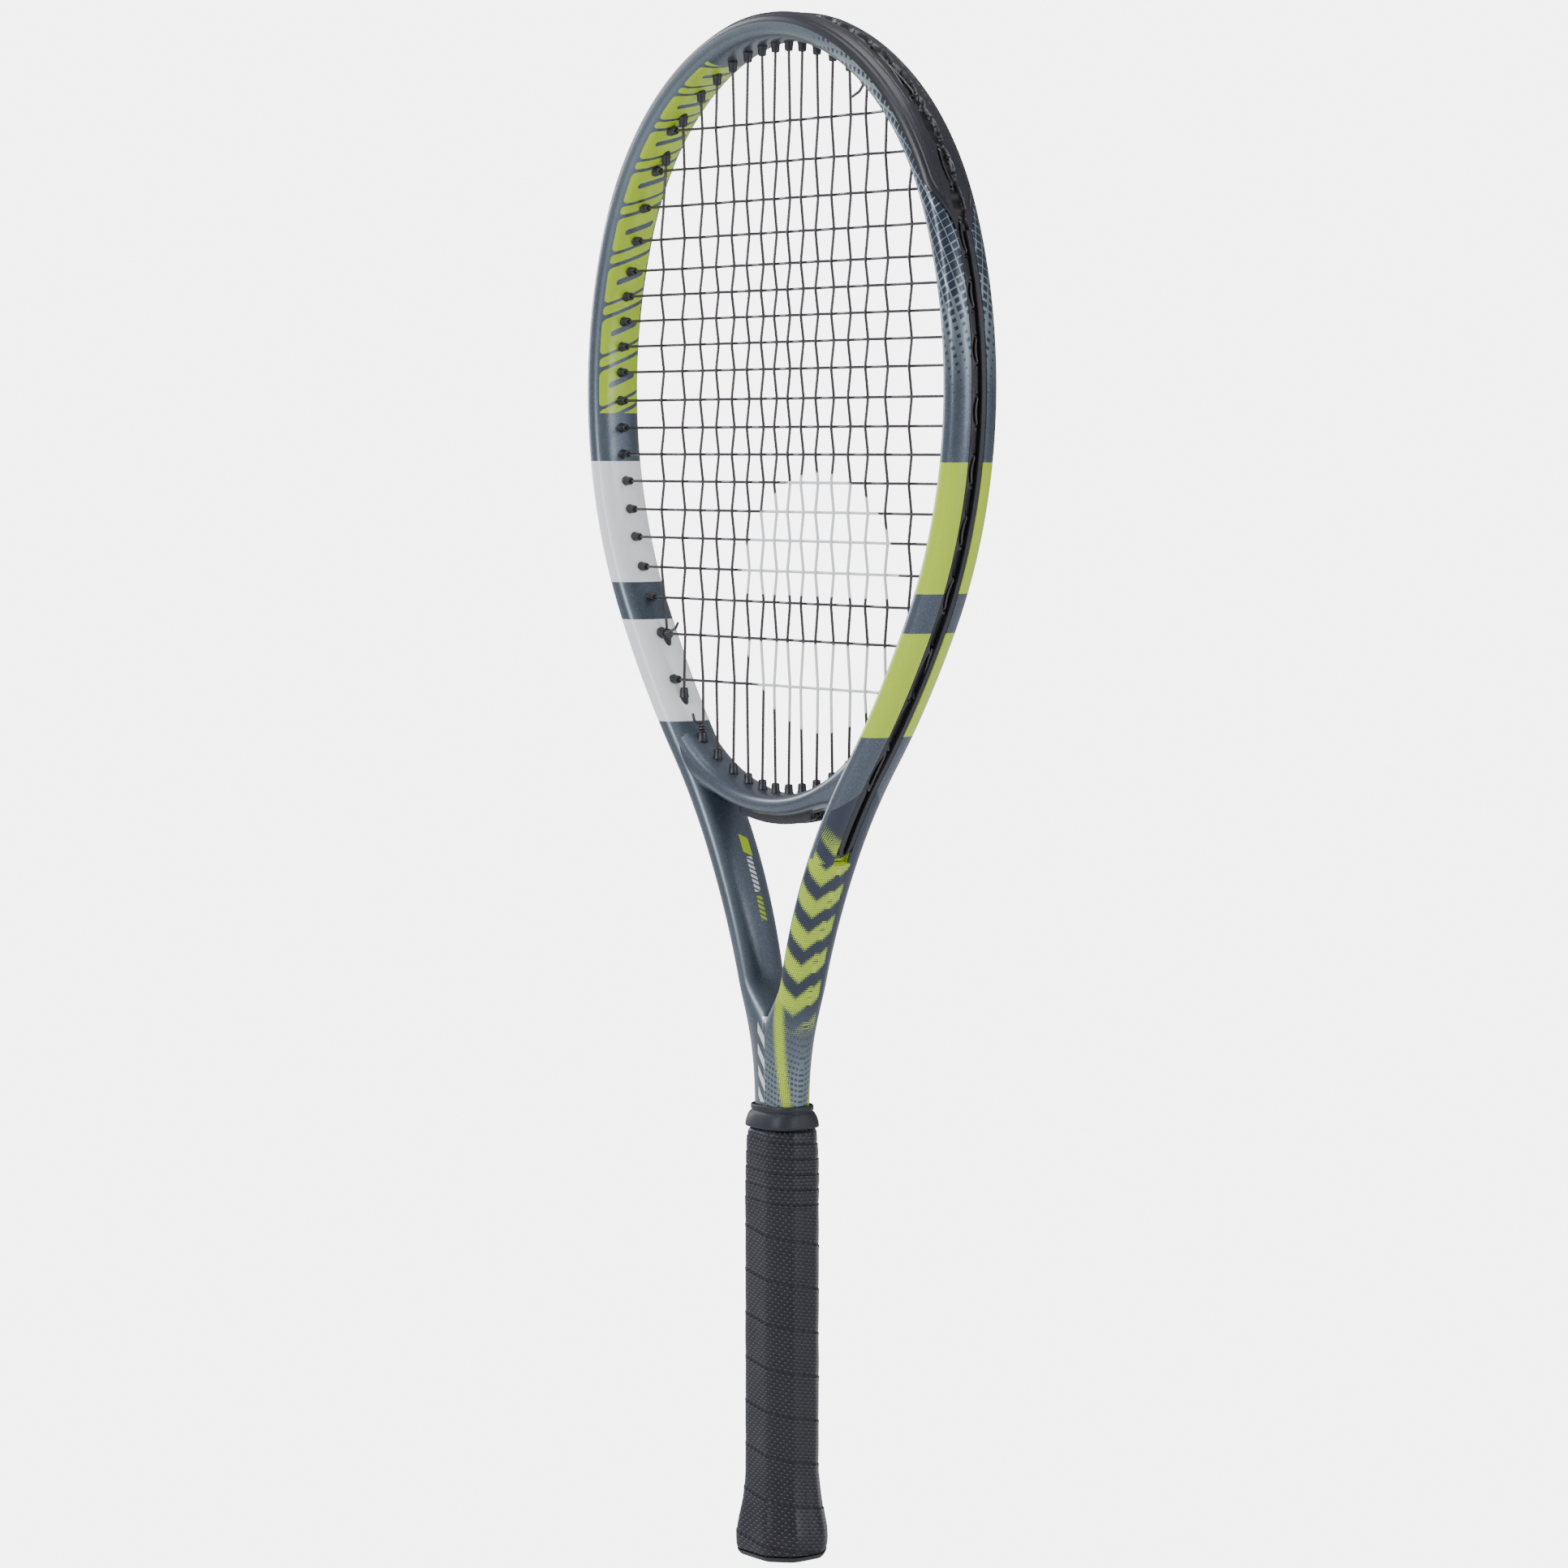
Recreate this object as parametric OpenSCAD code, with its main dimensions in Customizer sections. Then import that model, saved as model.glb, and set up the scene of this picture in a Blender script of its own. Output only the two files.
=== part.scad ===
// Tennis racket: moulded frame, grommet strips, woven strings and wrapped handle.
// Origin at the middle of the butt's base, +Z along the racket, +Y through the string bed.

/* [Outline] */
// Overall length, butt to crown
overall_length = 685; // [660:1:700]
// Radii of the outer outline's five arcs, crown to handle (negative turns outward)
arc_radius = [113.3, 138.3, 217.6, 428.7, -265.5];
// Angle that each arc turns through
arc_angle = [19, 50.3, 49.1, 9.7, 38.1];

/* [Frame tube] */
// Half depth of the tube in the plane of the strings
tube_half = 6.5; // [5:0.1:8]
// Half height of the beam through the string bed
beam_half = 12.5; // [10:0.1:14]
// Roundness of the tube's section (2 is an ellipse)
tube_power = 2.7; // [2:0.1:4]
// Wall of the moulded tube
tube_wall = 1.6; // [1:0.1:2.5]
// Half width and depth of the outer channel that the grommet strips sit in
channel_half = 4.2; // [3:0.1:5]
channel_depth = 3.6; // [3:0.1:4.5]
// Half depth of an arm beside the throat
arm_half = 5.7; // [5:0.1:7]
// Height of the bottom of the V between the arms
throat_low = 240; // [220:1:260]

/* [Bridge] */
// Height of the centre of the bridge's curve
bridge_centre = 436; // [400:1:460]
// Radii of the bridge's upper and lower faces
bridge_upper = 94; // [90:0.5:100]
bridge_lower = 104; // [98:0.5:112]
// Half height of the bridge through the string bed
bridge_half = 11.5; // [8:0.1:12.5]

/* [Strings] */
// Radius of the string
string_r = 0.64; // [0.55:0.01:0.7]
// Distances of the main strings from the middle
main_x = [4.8, 14.4, 24.8, 35.9, 47.6, 59.6, 73.2, 89.3];
// Heights of the cross strings, crown to throat
cross_z = [637.5, 620.1, 603.9, 589.2, 575.5, 564.1, 552.7, 541.2, 529.4, 516.4,
           503.9, 491.8, 479.5, 466.6, 453.9, 440.3, 426.5, 410.1, 389.6];

/* [Grommets] */
// Outer radius of a barrel
barrel_r = 2.0; // [1.6:0.05:2.4]
// How far a barrel stands out of the frame's inner wall
barrel_out = 4.2; // [3:0.1:6]
// Sideways shift of the barrels where a main and a cross pass each other inside the tube
barrel_shift = 2.12; // [2.05:0.01:2.2]
// Thickness of the bumper over the crown
bumper_skin = 1.4; // [1:0.1:2]

/* [Handle] */
// Half width and half thickness of the shaft that the two tubes make in the handle
shaft_half = [12.8, 10.5];
// Corners of the finished octagonal grip, measured from the middle
grip_side = [17.1, 6.6];
grip_face = [8.9, 14.7];
// Thickness of the wrapped tape
tape_thick = 1.25; // [1:0.05:2]

/* [Hidden] */
$fn = 48;
gap = 0.05;                                   // fitting gap between separate pieces
barrel_hole = barrel_r + gap;                 // radius of the frame's string holes
bumper_end = 72.4;                            // heading of the bumper's tips
strip_start = 72.8;                           // heading where a side strip begins
strip_low = 313;                              // height of a side strip's lower end
lane = channel_depth - gap - 1.0 - string_r - 0.15;   // depth of the strings' outer runs
bridge_lane = bridge_lower + 1.6 + string_r + 0.06;    // radius of the strings' runs in the bar
flush_lane = bridge_lower + 0.25 + string_r + 0.06;    // radius of the runs beside the bar
bar_reach = 14.2;                             // half angle of the bar under the bridge
weave = string_r + 0.04;                      // half spacing of two strings at a crossing
shared = 0.78;                                // half spacing of two strings in one barrel
spare_x = 66.6;                               // spare grommet that starts the cross string
paint = [0.36, 0.44, 0.46];
black = [0.07, 0.07, 0.08];

// ---- outline ---------------------------------------------------------------------------------
function way(r) = r < 0 ? -1 : 1;
function heading(k) = k == 0 ? 0 : heading(k - 1) + way(arc_radius[k - 1]) * arc_angle[k - 1];
function arc_centre(k) = arc_from(k) - arc_radius[k] * [sin(heading(k)), cos(heading(k))];
function arc_from(k) = k == 0 ? [0, overall_length]
    : arc_centre(k - 1) + arc_radius[k - 1] * [sin(heading(k)), cos(heading(k))];
// point on arc k where the outline heads h, d inside the outline
function rim(k, h, d) = arc_centre(k) + (arc_radius[k] - d) * [sin(h), cos(h)];
function arc_at_z(z) = z > arc_from(2)[1] ? 1 : z > arc_from(3)[1] ? 2 : z > arc_from(4)[1] ? 3 : 4;
function heading_at_z(z, d) = let(k = arc_at_z(z)) acos((z - arc_centre(k)[1]) / (arc_radius[k] - d));
function rim_x(z, d) = let(k = arc_at_z(z)) rim(k, heading_at_z(z, d), d)[0];
function crown_arc(x) = x < arc_from(1)[0] ? 0 : 1;
function crown_heading(x, d) = let(k = crown_arc(x)) asin((x - arc_centre(k)[0]) / (arc_radius[k] - d));
function crown_z(x, d) = rim(crown_arc(x), crown_heading(x, d), d)[1];
function foot_arc(x) = x > arc_from(4)[0] ? 3 : 4;
function foot_heading(x, d) =
    let(k = foot_arc(x)) 180 - asin((x - arc_centre(k)[0]) / (arc_radius[k] - d));
function foot_z(x, d) = rim(foot_arc(x), foot_heading(x, d), d)[1];
function bridge_z(x, r) = bridge_centre - sqrt(r * r - x * x);

// ---- shapes ----------------------------------------------------------------------------------
function power(v, e) = way(v) * pow(abs(v), e);
// closed oval, squarer as the power rises
function oval(a, b, p, n) = [for (i = [0 : n - 1]) let(t = 360 * i / n)
    [a * power(cos(t), 2 / p), b * power(sin(t), 2 / p)]];
// section of the grip scaled by k, with the sides moved in by inset
function octagon(inset, k) =
    let(s = grip_side * k - [inset, inset * 0.4], f = grip_face * k - [inset * 0.4, inset])
    [[s[0], s[1]], [f[0], f[1]], [-f[0], f[1]], [-s[0], s[1]],
     [-s[0], -s[1]], [-f[0], -f[1]], [f[0], -f[1]], [s[0], -s[1]]];
function smooth(t) = let(c = min(1, max(0, t))) c * c * (3 - 2 * c);
function mix(a, b, t) = a + (b - a) * t;
function unit(v) = v / norm(v);

// skin over a list of rings with equal point counts, closed with flat ends
module skin(rings) {
    n = len(rings[0]);
    m = len(rings);
    polyhedron(
        points = [for (r = rings) each r],
        faces = concat(
            [for (j = [0 : m - 2], i = [0 : n - 1]) let(k = (i + 1) % n)
                [j * n + k, (j + 1) * n + i, j * n + i]],
            [for (j = [0 : m - 2], i = [0 : n - 1]) let(k = (i + 1) % n)
                [(j + 1) * n + k, (j + 1) * n + i, j * n + k]],
            [[for (i = [n - 1 : -1 : 0]) i]],
            [[for (i = [0 : n - 1]) (m - 1) * n + i]]));
}
// hollow skin between outer and inner rings; the far end is shut where the inner list is shorter
module tube_skin(outer, inner) {
    n = len(outer[0]);
    m = len(outer);
    w = len(inner);
    o = n * m;
    polyhedron(
        points = concat([for (r = outer) each r], [for (r = inner) each r]),
        faces = concat(
            [for (j = [0 : m - 2], i = [0 : n - 1]) each let(k = (i + 1) % n)
                [[j * n + k, (j + 1) * n + i, j * n + i], [(j + 1) * n + k, (j + 1) * n + i, j * n + k]]],
            [for (j = [0 : w - 2], i = [0 : n - 1]) each let(k = (i + 1) % n)
                [[o + j * n + i, o + (j + 1) * n + i, o + j * n + k],
                 [o + j * n + k, o + (j + 1) * n + i, o + (j + 1) * n + k]]],
            [for (i = [0 : n - 1]) each let(k = (i + 1) % n) [[k, i, o + k], [o + k, i, o + i]]],
            w < m ? [[for (i = [0 : n - 1]) (m - 1) * n + i],
                     [for (i = [n - 1 : -1 : 0]) o + (w - 1) * n + i]]
                  : [for (i = [0 : n - 1]) each let(k = (i + 1) % n, e = (m - 1) * n)
                        [[e + i, e + k, o + e + i], [e + k, o + e + k, o + e + i]]]));
}
// level rings: a list of [z, outline]
module stack(levels) {
    skin([for (v = levels) [for (i = [len(v[1]) - 1 : -1 : 0]) [v[1][i][0], v[1][i][1], v[0]]]]);
}
// round bar between two points
module rod(a, b, r1, r2) {
    v = b - a;
    translate(a) rotate([0, acos(v[2] / norm(v)), atan2(v[1], v[0])])
        cylinder(h = norm(v), r1 = r1, r2 = r2 == undef ? r1 : r2);
}
// lays a shape drawn in the X-Z plane upright
module upright() { rotate([90, 0, 0]) children(); }
module both_sides() { children(); mirror([1, 0, 0]) children(); }

// ---- frame tube ------------------------------------------------------------------------------
// stations along the outline: [arc, heading]
function steps(k, h0, h1, n) = [for (i = [0 : n - 1]) [k, mix(h0, h1, i / n)]];
crown_stations = concat(steps(0, 0, heading(1), 4), steps(1, heading(1), heading(2), 9),
                        [[2, heading(2)]]);
side_stations = concat([[2, strip_start]], steps(2, strip_start + 5, heading(3), 8));
channel_end = heading_at_z(strip_low, 0);
arm_stations = concat(steps(3, heading(3), heading(4), 3), steps(4, heading(4), channel_end, 5),
                      [[4, channel_end]], steps(4, channel_end - 0.2, heading(5), 12),
                      [[4, heading(5)]]);
// places a section point [depth outward, y] at a station
function place(s, q) = let(p = rim(s[0], s[1], -q[0])) [p[0], q[1], p[1]];
function mirrored(rings) = [for (i = [len(rings) - 1 : -1 : 1]) [for (q = rings[i]) [-q[0], q[1], q[2]]]];
// depth of the tube's rounded face at y, measured from its outermost line
function face(y, a, b, p) = a * (pow(1 - pow(min(1, abs(y) / b), p), 1 / p) - 1);
// section of the tube, 0 on the outline; open is 1 where the channel is cut and 0 where it isn't
turns = [25, 40, 55, 72, 90, 110, 130, 155];
function section(a, b, p, cw, cd, recess, open, wall) =
    let(t0 = asin(pow(cw / b, p / 2)),
        all = concat([t0], turns, [180], [for (t = reverse(turns)) 360 - t], [360 - t0]),
        foot = face(cw / 3, a, b, p) - wall)
    concat([for (t = all) [-a - wall + a * power(cos(t), 2 / p) - (cos(t) > 0 ? recess * cos(t) : 0),
                           b * power(sin(t), 2 / p)]],
           [for (w = [-1, 1]) [mix(foot, -cd, open), mix(w * cw / 3, w * cw, open)]]);
function tube_section(a, b, p, recess, open, wall) = wall == 0
    ? section(a, b, p, channel_half, channel_depth, recess, open, 0)
    : section(a - wall, b - wall, p, channel_half + wall, channel_depth + wall, recess, open, wall);
function hoop_ring(s, recess, wall) =
    [for (q = tube_section(tube_half, beam_half, tube_power, recess, 1, wall)) place(s, q)];
function half_hoop(wall) = concat([for (s = crown_stations) hoop_ring(s, bumper_skin, wall)],
    [hoop_ring([2, bumper_end], bumper_skin, wall)], [for (s = side_stations) hoop_ring(s, 0, wall)],
    [hoop_ring([2, heading(3)], 0, wall)]);
function whole(rings) = concat(mirrored(rings), rings);

// string holes: [outer point, inner point, y, number of strings] for the right-hand side
function main_top(i, d, out) = [[main_x[i], crown_z(main_x[i], d)],
    [main_x[i], crown_z(main_x[i], 2 * tube_half) - out], i == 7 ? barrel_shift : 0, 1];
function main_foot(i, d, out) = [[main_x[i], foot_z(main_x[i], d)],
    [main_x[i], foot_z(main_x[i], 2 * arm_depth(foot_z(main_x[i], 12))) + out], i == 7 ? barrel_shift : 0, 1];
function main_bridge(i, r, out) = [[main_x[i], bridge_z(main_x[i], r)],
    [main_x[i], bridge_z(main_x[i], bridge_upper) + out], 0, 1];
function cross_end(j, d, out) = [[rim_x(cross_z[j], d), cross_z[j]],
    [rim_x(cross_z[j], 2 * arm_depth(cross_z[j])) - out, cross_z[j]],
    j == 0 || j == 18 ? -barrel_shift : 0, j == 17 ? 2 : 1];
function spare_end(d, out) = let(h = crown_heading(spare_x, 0))
    [rim(1, h, d), rim(1, h, 2 * tube_half + out), 0, 1];
function hole_scale(h) = h[3] == 2 ? 1.25 : 1;
module hole_rod(h, r1, r2) {
    rod([h[0][0], h[2], h[0][1]], [h[1][0], h[2], h[1][1]], r1 * hole_scale(h),
        (r2 == undef ? r1 : r2) * hole_scale(h));
}
module hoop_holes() {
    both_sides() {
        for (i = [0 : 7]) hole_rod(main_top(i, 0.5, 3), barrel_hole);
        for (j = [0 : 16]) hole_rod(cross_end(j, 0.5, 3), barrel_hole);
    }
    hole_rod(spare_end(0.5, 3), barrel_hole);
}
module hoop_tube() {
    color(paint) difference() {
        tube_skin(whole(half_hoop(0)), whole(half_hoop(tube_wall)));
        hoop_holes();
    }
}

// ---- arms ------------------------------------------------------------------------------------
function arm_depth(z) = mix(arm_half, tube_half, smooth((z - 350) / 60));
function arm_beam(z) = mix(shaft_half[1], beam_half, smooth((z - 205) / 110));
function arm_power(z) = mix(2.4, tube_power, smooth((z - 210) / 100));
// the two arms widen inward until they meet on the middle plane below the throat
function arm_ring(s, wall) =
    let(z = rim(s[0], s[1], 0)[1],
        a = mix(arm_depth(z), rim(s[0], s[1], 0)[0], smooth((throat_low + 18 - z) / 44)))
    [for (q = tube_section(a, arm_beam(z), arm_power(z), 0, z > strip_low - 0.1 ? 1 : 0, wall))
        let(p = place(s, q)) [max(wall / 2, p[0]), p[1], p[2]]];
module arm_holes() {
    for (i = [5 : 7]) hole_rod(main_foot(i, 0.5, 6), (i == 5 ? 1.25 : 1) * barrel_hole);
    for (j = [17 : 18]) hole_rod(cross_end(j, 0.5, 3), barrel_hole);
    hole_rod(main_bridge(4, bridge_lower + 2, 0), barrel_hole);
}
module arm() {
    difference() {
        tube_skin([for (s = arm_stations) arm_ring(s, 0)],
                  [for (i = [0 : len(arm_stations) - 3]) arm_ring(arm_stations[i], tube_wall)]);
        arm_holes();
        bridge_pocket();
    }
}
module left_arm() { color(paint) mirror([1, 0, 0]) arm(); }
module right_arm() { color(paint) arm(); }

// ---- bridge ----------------------------------------------------------------------------------
// sweeps a section along the bridge; the section's X is the distance from the curve's centre
module bridge_sweep(half) {
    upright() translate([0, bridge_centre, 0]) rotate(270 - half) rotate_extrude(angle = 2 * half) children();
}
// room in an arm's inner wall for the end of the bridge strip
module bridge_pocket() {
    t = 25.5;
    translate([0, 0, bridge_centre]) rotate([0, -t, 0]) translate([0, 0, -bridge_lower - 1.1])
        cube([18, 2 * channel_half + 0.1, 4.9], center = true);
}
// angle along the bridge at which a point of its section meets an arm's inner wall
function meet(r, y, lo, hi, n) = let(t = (lo + hi) / 2, z = bridge_centre - r * cos(t), a = arm_depth(z))
    n == 0 ? t : r * sin(t) > rim_x(z, a * 2 + face(y, a, arm_beam(z), arm_power(z)) + 0.02)
        ? meet(r, y, lo, t, n - 1) : meet(r, y, t, hi, n - 1);
function bridge_section(wall) = let(half = (bridge_lower - bridge_upper) / 2, cd = 1.2)
    [for (q = section(half - wall, bridge_half - wall, tube_power, channel_half + (wall > 0 ? 0.8 : 0),
                      cd + (wall > 0 ? 1.4 : 0), 0, 1, wall)) [bridge_lower + q[0], q[1]]];
function bridge_rings(wall) =
    let(sec = bridge_section(wall), end = [for (q = sec) meet(q[0], q[1], 15, 50, 30)], m = 12)
    [for (j = [0 : m]) [for (i = [0 : len(sec) - 1]) let(t = mix(end[i], -end[i], j / m), q = sec[i])
        [q[0] * sin(t), q[1], bridge_centre - q[0] * cos(t)]]];
module bridge_tube() {
    color(paint) difference() {
        tube_skin(bridge_rings(0), bridge_rings(1.5));
        both_sides() {
            for (i = [0 : 4]) hole_rod(main_bridge(i, bridge_lower + 3, 6), barrel_hole);
            hole_rod(main_foot(5, 0.5, 9), barrel_hole * 1.25);
        }
    }
}

// ---- grommet strips --------------------------------------------------------------------------
// flat base with two low edges, seated in the frame's channel
function strip_section(w) = let(d = channel_depth - gap, e = 0.7)
    [[-d, -w], [-e, -w], [-e, e - w], [1 - d, e - w], [1 - d, w - e], [-e, w - e], [-e, w], [-d, w]];
module barrels(holes) {
    for (h = holes) hole_rod(h, barrel_r, barrel_r * 0.88);
}
module bores(holes) {
    for (h = holes) hole_rod(h, h[3] == 2 ? 1.25 : 0.85, h[3] == 2 ? 1.25 : 0.85);
}
// a barrel's hole list, run out past both ends for its bore
function strip_holes(d, out) = concat([for (j = [4 : 18]) cross_end(j, d, out)],
    [for (i = [5 : 7]) let(h = main_foot(i, d, i == 5 ? out + 3 : out)) [h[0], h[1], h[2], i == 5 ? 2 : 1]]);
strip_stations = concat(side_stations, [for (s = arm_stations) if (rim(s[0], s[1], 0)[1] > strip_low + 4) s]);
module side_strip() {
    w = channel_half - gap;
    tip = heading_at_z(strip_low + 4, 0);
    difference() {
        union() {
            skin(concat([for (s = strip_stations) [for (q = strip_section(w)) place(s, q)]],
                        [[for (q = strip_section(w - 0.6)) place([4, tip], q)]]));
            barrels(strip_holes(channel_depth - gap - 0.5, barrel_out));
        }
        bores(strip_holes(-2, barrel_out + 2));
    }
}
module left_strip() { color(black) mirror([1, 0, 0]) side_strip(); }
module right_strip() { color(black) side_strip(); }
function bridge_holes(r, out) = [for (i = [0 : 4]) main_bridge(i, r, out)];
module bridge_strip() {
    w = channel_half - gap;
    color(black) difference() {
        union() {
            bridge_sweep(28.5) translate([bridge_lower - 1.2 + gap, -w]) square([1.5, 2 * w]);
            bridge_sweep(bar_reach) difference() {
                translate([bridge_lower, -w]) square([3.4, 2 * w]);
                translate([bridge_lower + 1.6, -w + 1]) square([4, 2 * w - 2]);
            }
            both_sides() barrels(bridge_holes(bridge_lower + 0.5, barrel_out));
        }
        both_sides() bores(bridge_holes(bridge_lower + 6, barrel_out + 2));
    }
}
// shell over the tube's outer face, dished into a channel for the strings
function bumper_section() =
    let(w = channel_half - gap, y0 = 11.2, d = channel_depth - gap,
        outer = function(y) face(y, tube_half, beam_half, tube_power),
        t = function(y) asin(pow(min(1, abs(y) / beam_half), tube_power / 2)),
        inner = function(y) outer(y) - (bumper_skin - gap) * cos(t(y)),
        top = [y0, 10, 8.6, 7.6, 7.2, 6.8, 5.4])
    concat([for (y = top) [outer(y) - (y == 7.2 ? 0.4 : 0), -y]],
           [[outer(w - 0.75), 0.75 - w], [1 - d, 0.75 - w], [1 - d, w - 0.75], [outer(w - 0.75), w - 0.75]],
           [for (y = reverse(top)) [outer(y) - (y == 7.2 ? 0.4 : 0), y]],
           [for (y = [y0, 9.5, 7.2, w]) [inner(y), y]], [[-d, w], [-d, -w]],
           [for (y = [w, 7.2, 9.5, y0]) [inner(y), -y]]);
bumper_stations = concat(crown_stations, [[2, bumper_end]]);
function bumper_holes(d, out) = concat([for (i = [0 : 7]) main_top(i, d, out)],
                                       [for (j = [0 : 3]) cross_end(j, d, out)]);
module bumper_guard() {
    color(black) difference() {
        union() {
            skin(whole([for (s = bumper_stations) [for (q = bumper_section()) place(s, q)]]));
            both_sides() barrels(bumper_holes(channel_depth - gap - 0.5, barrel_out));
            barrels([spare_end(channel_depth - gap - 0.5, barrel_out)]);
        }
        both_sides() bores(bumper_holes(-2, barrel_out + 2));
        bores([spare_end(-2, barrel_out + 2)]);
    }
}

// ---- strings ---------------------------------------------------------------------------------
// round string along a list of points
module string(p) {
    n = len(p);
    t = [for (i = [0 : n - 1]) unit((i > 0 ? unit(p[i] - p[i - 1]) : [0, 0, 0])
                                    + (i < n - 1 ? unit(p[i + 1] - p[i]) : [0, 0, 0]))];
    side = [for (i = 0, s = unit(cross(t[0], [0, 1, 0.01])); i < n;
                 i = i + 1, s = i < n ? unit(s - (s * t[i]) * t[i]) : s) s];
    skin([for (i = [0 : n - 1]) [for (k = [0 : 4])
        p[i] + string_r * (cos(72 * k) * side[i] + sin(72 * k) * cross(side[i], t[i]))]]);
}
// which side of the bed a main passes a cross on
function over(i, j) = (i + j) % 2 == 0 ? 1 : -1;
function reverse(v) = [for (i = [len(v) - 1 : -1 : 0]) v[i]];
function flip(v) = [for (q = v) [-q[0], q[1], q[2]]];
// one main from its crown end to its foot, on the right-hand side
function main_span(i, side) =
    let(x = main_x[i], y = i == 7 ? barrel_shift : 0, m = side > 0 ? i : i + 1,
        zt = crown_z(x, 2 * tube_half) - barrel_out, b = i < 5,
        zf = b ? bridge_z(x, bridge_upper) + barrel_out
               : foot_z(x, 2 * arm_depth(foot_z(x, 12))) + barrel_out,
        yf = i == 5 ? shared : y)
    concat([[x, y, crown_z(x, lane + 1.2)], [x, y, zt]],
           [for (j = [0 : 18]) if (cross_z[j] < zt - 4 && cross_z[j] > zf + 4)
               [x, weave * over(m, j), cross_z[j]]],
           [[x, yf, zf], [x, yf, b ? bridge_z(x, (i < 3 ? bridge_lane : flush_lane) - 1.2)
                                    : foot_z(x, lane + 1.2)]]);
// run over the crown between mains i and i + 1
function crown_run(i) =
    let(a = crown_heading(main_x[i], lane) + 0.5, b = crown_heading(main_x[i + 1], lane) - 0.5,
        y = i + 1 == 7 ? barrel_shift : 0)
    [for (s = [0 : 3]) let(h = mix(a, b, s / 3), q = rim(h < heading(1) ? 0 : 1, h, lane))
        [q[0], y * s / 3, q[1]]];
// run under the bridge between two distances from the middle
function bridge_run(xa, xb, r) = let(a = asin(xa / r) + 0.6, b = asin(xb / r) - 0.6)
    [for (s = [0 : 3]) let(h = mix(a, b, s / 3)) [r * sin(h), 0, bridge_centre - r * cos(h)]];
function foot_run() = let(za = foot_z(main_x[5], lane), zb = foot_z(main_x[6], lane))
    [for (s = [0 : 3]) let(z = mix(za + 1, zb - 1, s / 3)) [rim_x(z, lane), shared * (1 - s / 3), z]];
// round turns about a level line through p, then a cut end
function knot(p) = let(r = 2 * string_r + 0.1)
    concat([for (s = [0 : 10]) let(a = 90 - 72 * s)
               p + [-s * 0.19, r * sin(a), r * cos(a)]],
           [p + [-3.4, 2.4, 2.6], p + [-4.6, 2.6, 5.4]]);
// foot of the outermost main to the knot on cross 18
function main_end() =
    let(z0 = foot_z(main_x[7], lane), z1 = cross_z[17], xi = rim_x(z1, 2 * arm_depth(z1)) - barrel_out)
    concat([for (s = [0 : 3]) let(z = mix(z0 + 1, z1 - 0.8, s / 3))
               [rim_x(z, lane), mix(barrel_shift, shared, smooth(s / 2 - 0.5)), z]],
           [[rim_x(z1, lane + 1.2), shared, z1], [xi, shared, z1]],
           knot([xi - 1.2, -0.35, z1]));
// half of the mains: from the middle of the bridge out to the knot
function mains_route(side) =
    concat(reverse(main_span(0, side)), crown_run(0), main_span(1, side),
           bridge_run(main_x[1], main_x[2], bridge_lane),
           reverse(main_span(2, side)), crown_run(2), main_span(3, side),
           bridge_run(main_x[3], main_x[4], flush_lane),
           reverse(main_span(4, side)), crown_run(4), main_span(5, side),
           foot_run(), reverse(main_span(6, side)), crown_run(6), main_span(7, side), main_end());
module mains_string() {
    color(black) string(concat(reverse(flip(mains_route(-1))),
        [[-2.4, 0, bridge_z(2.4, bridge_lane)], [2.4, 0, bridge_z(2.4, bridge_lane)]], mains_route(1)));
}
// one cross from left to right
function cross_span(j) =
    let(z = cross_z[j], xi = rim_x(z, 2 * arm_depth(z)) - barrel_out, xo = rim_x(z, lane + 1.2),
        y = cross_y(j))
    concat([[-xo, y, z], [-xi, y, z]],
           [for (i = [7 : -1 : 0]) if (main_x[i] < xi - 3) [-main_x[i], -weave * over(i + 1, j), z]],
           [for (i = [0 : 7]) if (main_x[i] < xi - 3) [main_x[i], -weave * over(i, j), z]],
           [[xi, y, z], [xo, y, z]]);
// run down the right-hand channel from cross j to cross j + 1
function cross_y(j) = j == 0 || j == 18 ? -barrel_shift : j == 17 ? -shared : 0;
function side_run(j) = let(ya = cross_y(j), yb = cross_y(j + 1))
    [for (s = [0 : 3]) let(z = mix(cross_z[j] - 0.9, cross_z[j + 1] + 0.9, s / 3))
        [rim_x(z, lane), mix(ya, yb, s / 3), z]];
function cross_route(j) = j > 18 ? []
    : concat(j % 2 == 0 ? reverse(cross_span(j)) : cross_span(j),
             j == 18 ? [] : j % 2 == 0 ? flip(side_run(j)) : side_run(j), cross_route(j + 1));
// cut end that hangs out of the spare grommet, then over the crown to the first cross
function cross_start() =
    let(h = crown_heading(spare_x, 0), a = rim(1, h, lane + 1.2), b = rim(1, h, 2 * tube_half + barrel_out),
        h2 = heading_at_z(cross_z[0] + 1, lane))
    concat([[b[0] - 6.5, -1.2, b[1] - 5], [b[0] - 2.5, -0.4, b[1] - 3]], [[b[0], 0, b[1]], [a[0], 0, a[1]]],
           [for (s = [0 : 4]) let(q = rim(1, mix(h + 0.6, h2 - 0.4, s / 4), lane))
               [q[0], -2.2 * smooth(s * 0.8), q[1]]]);
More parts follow.
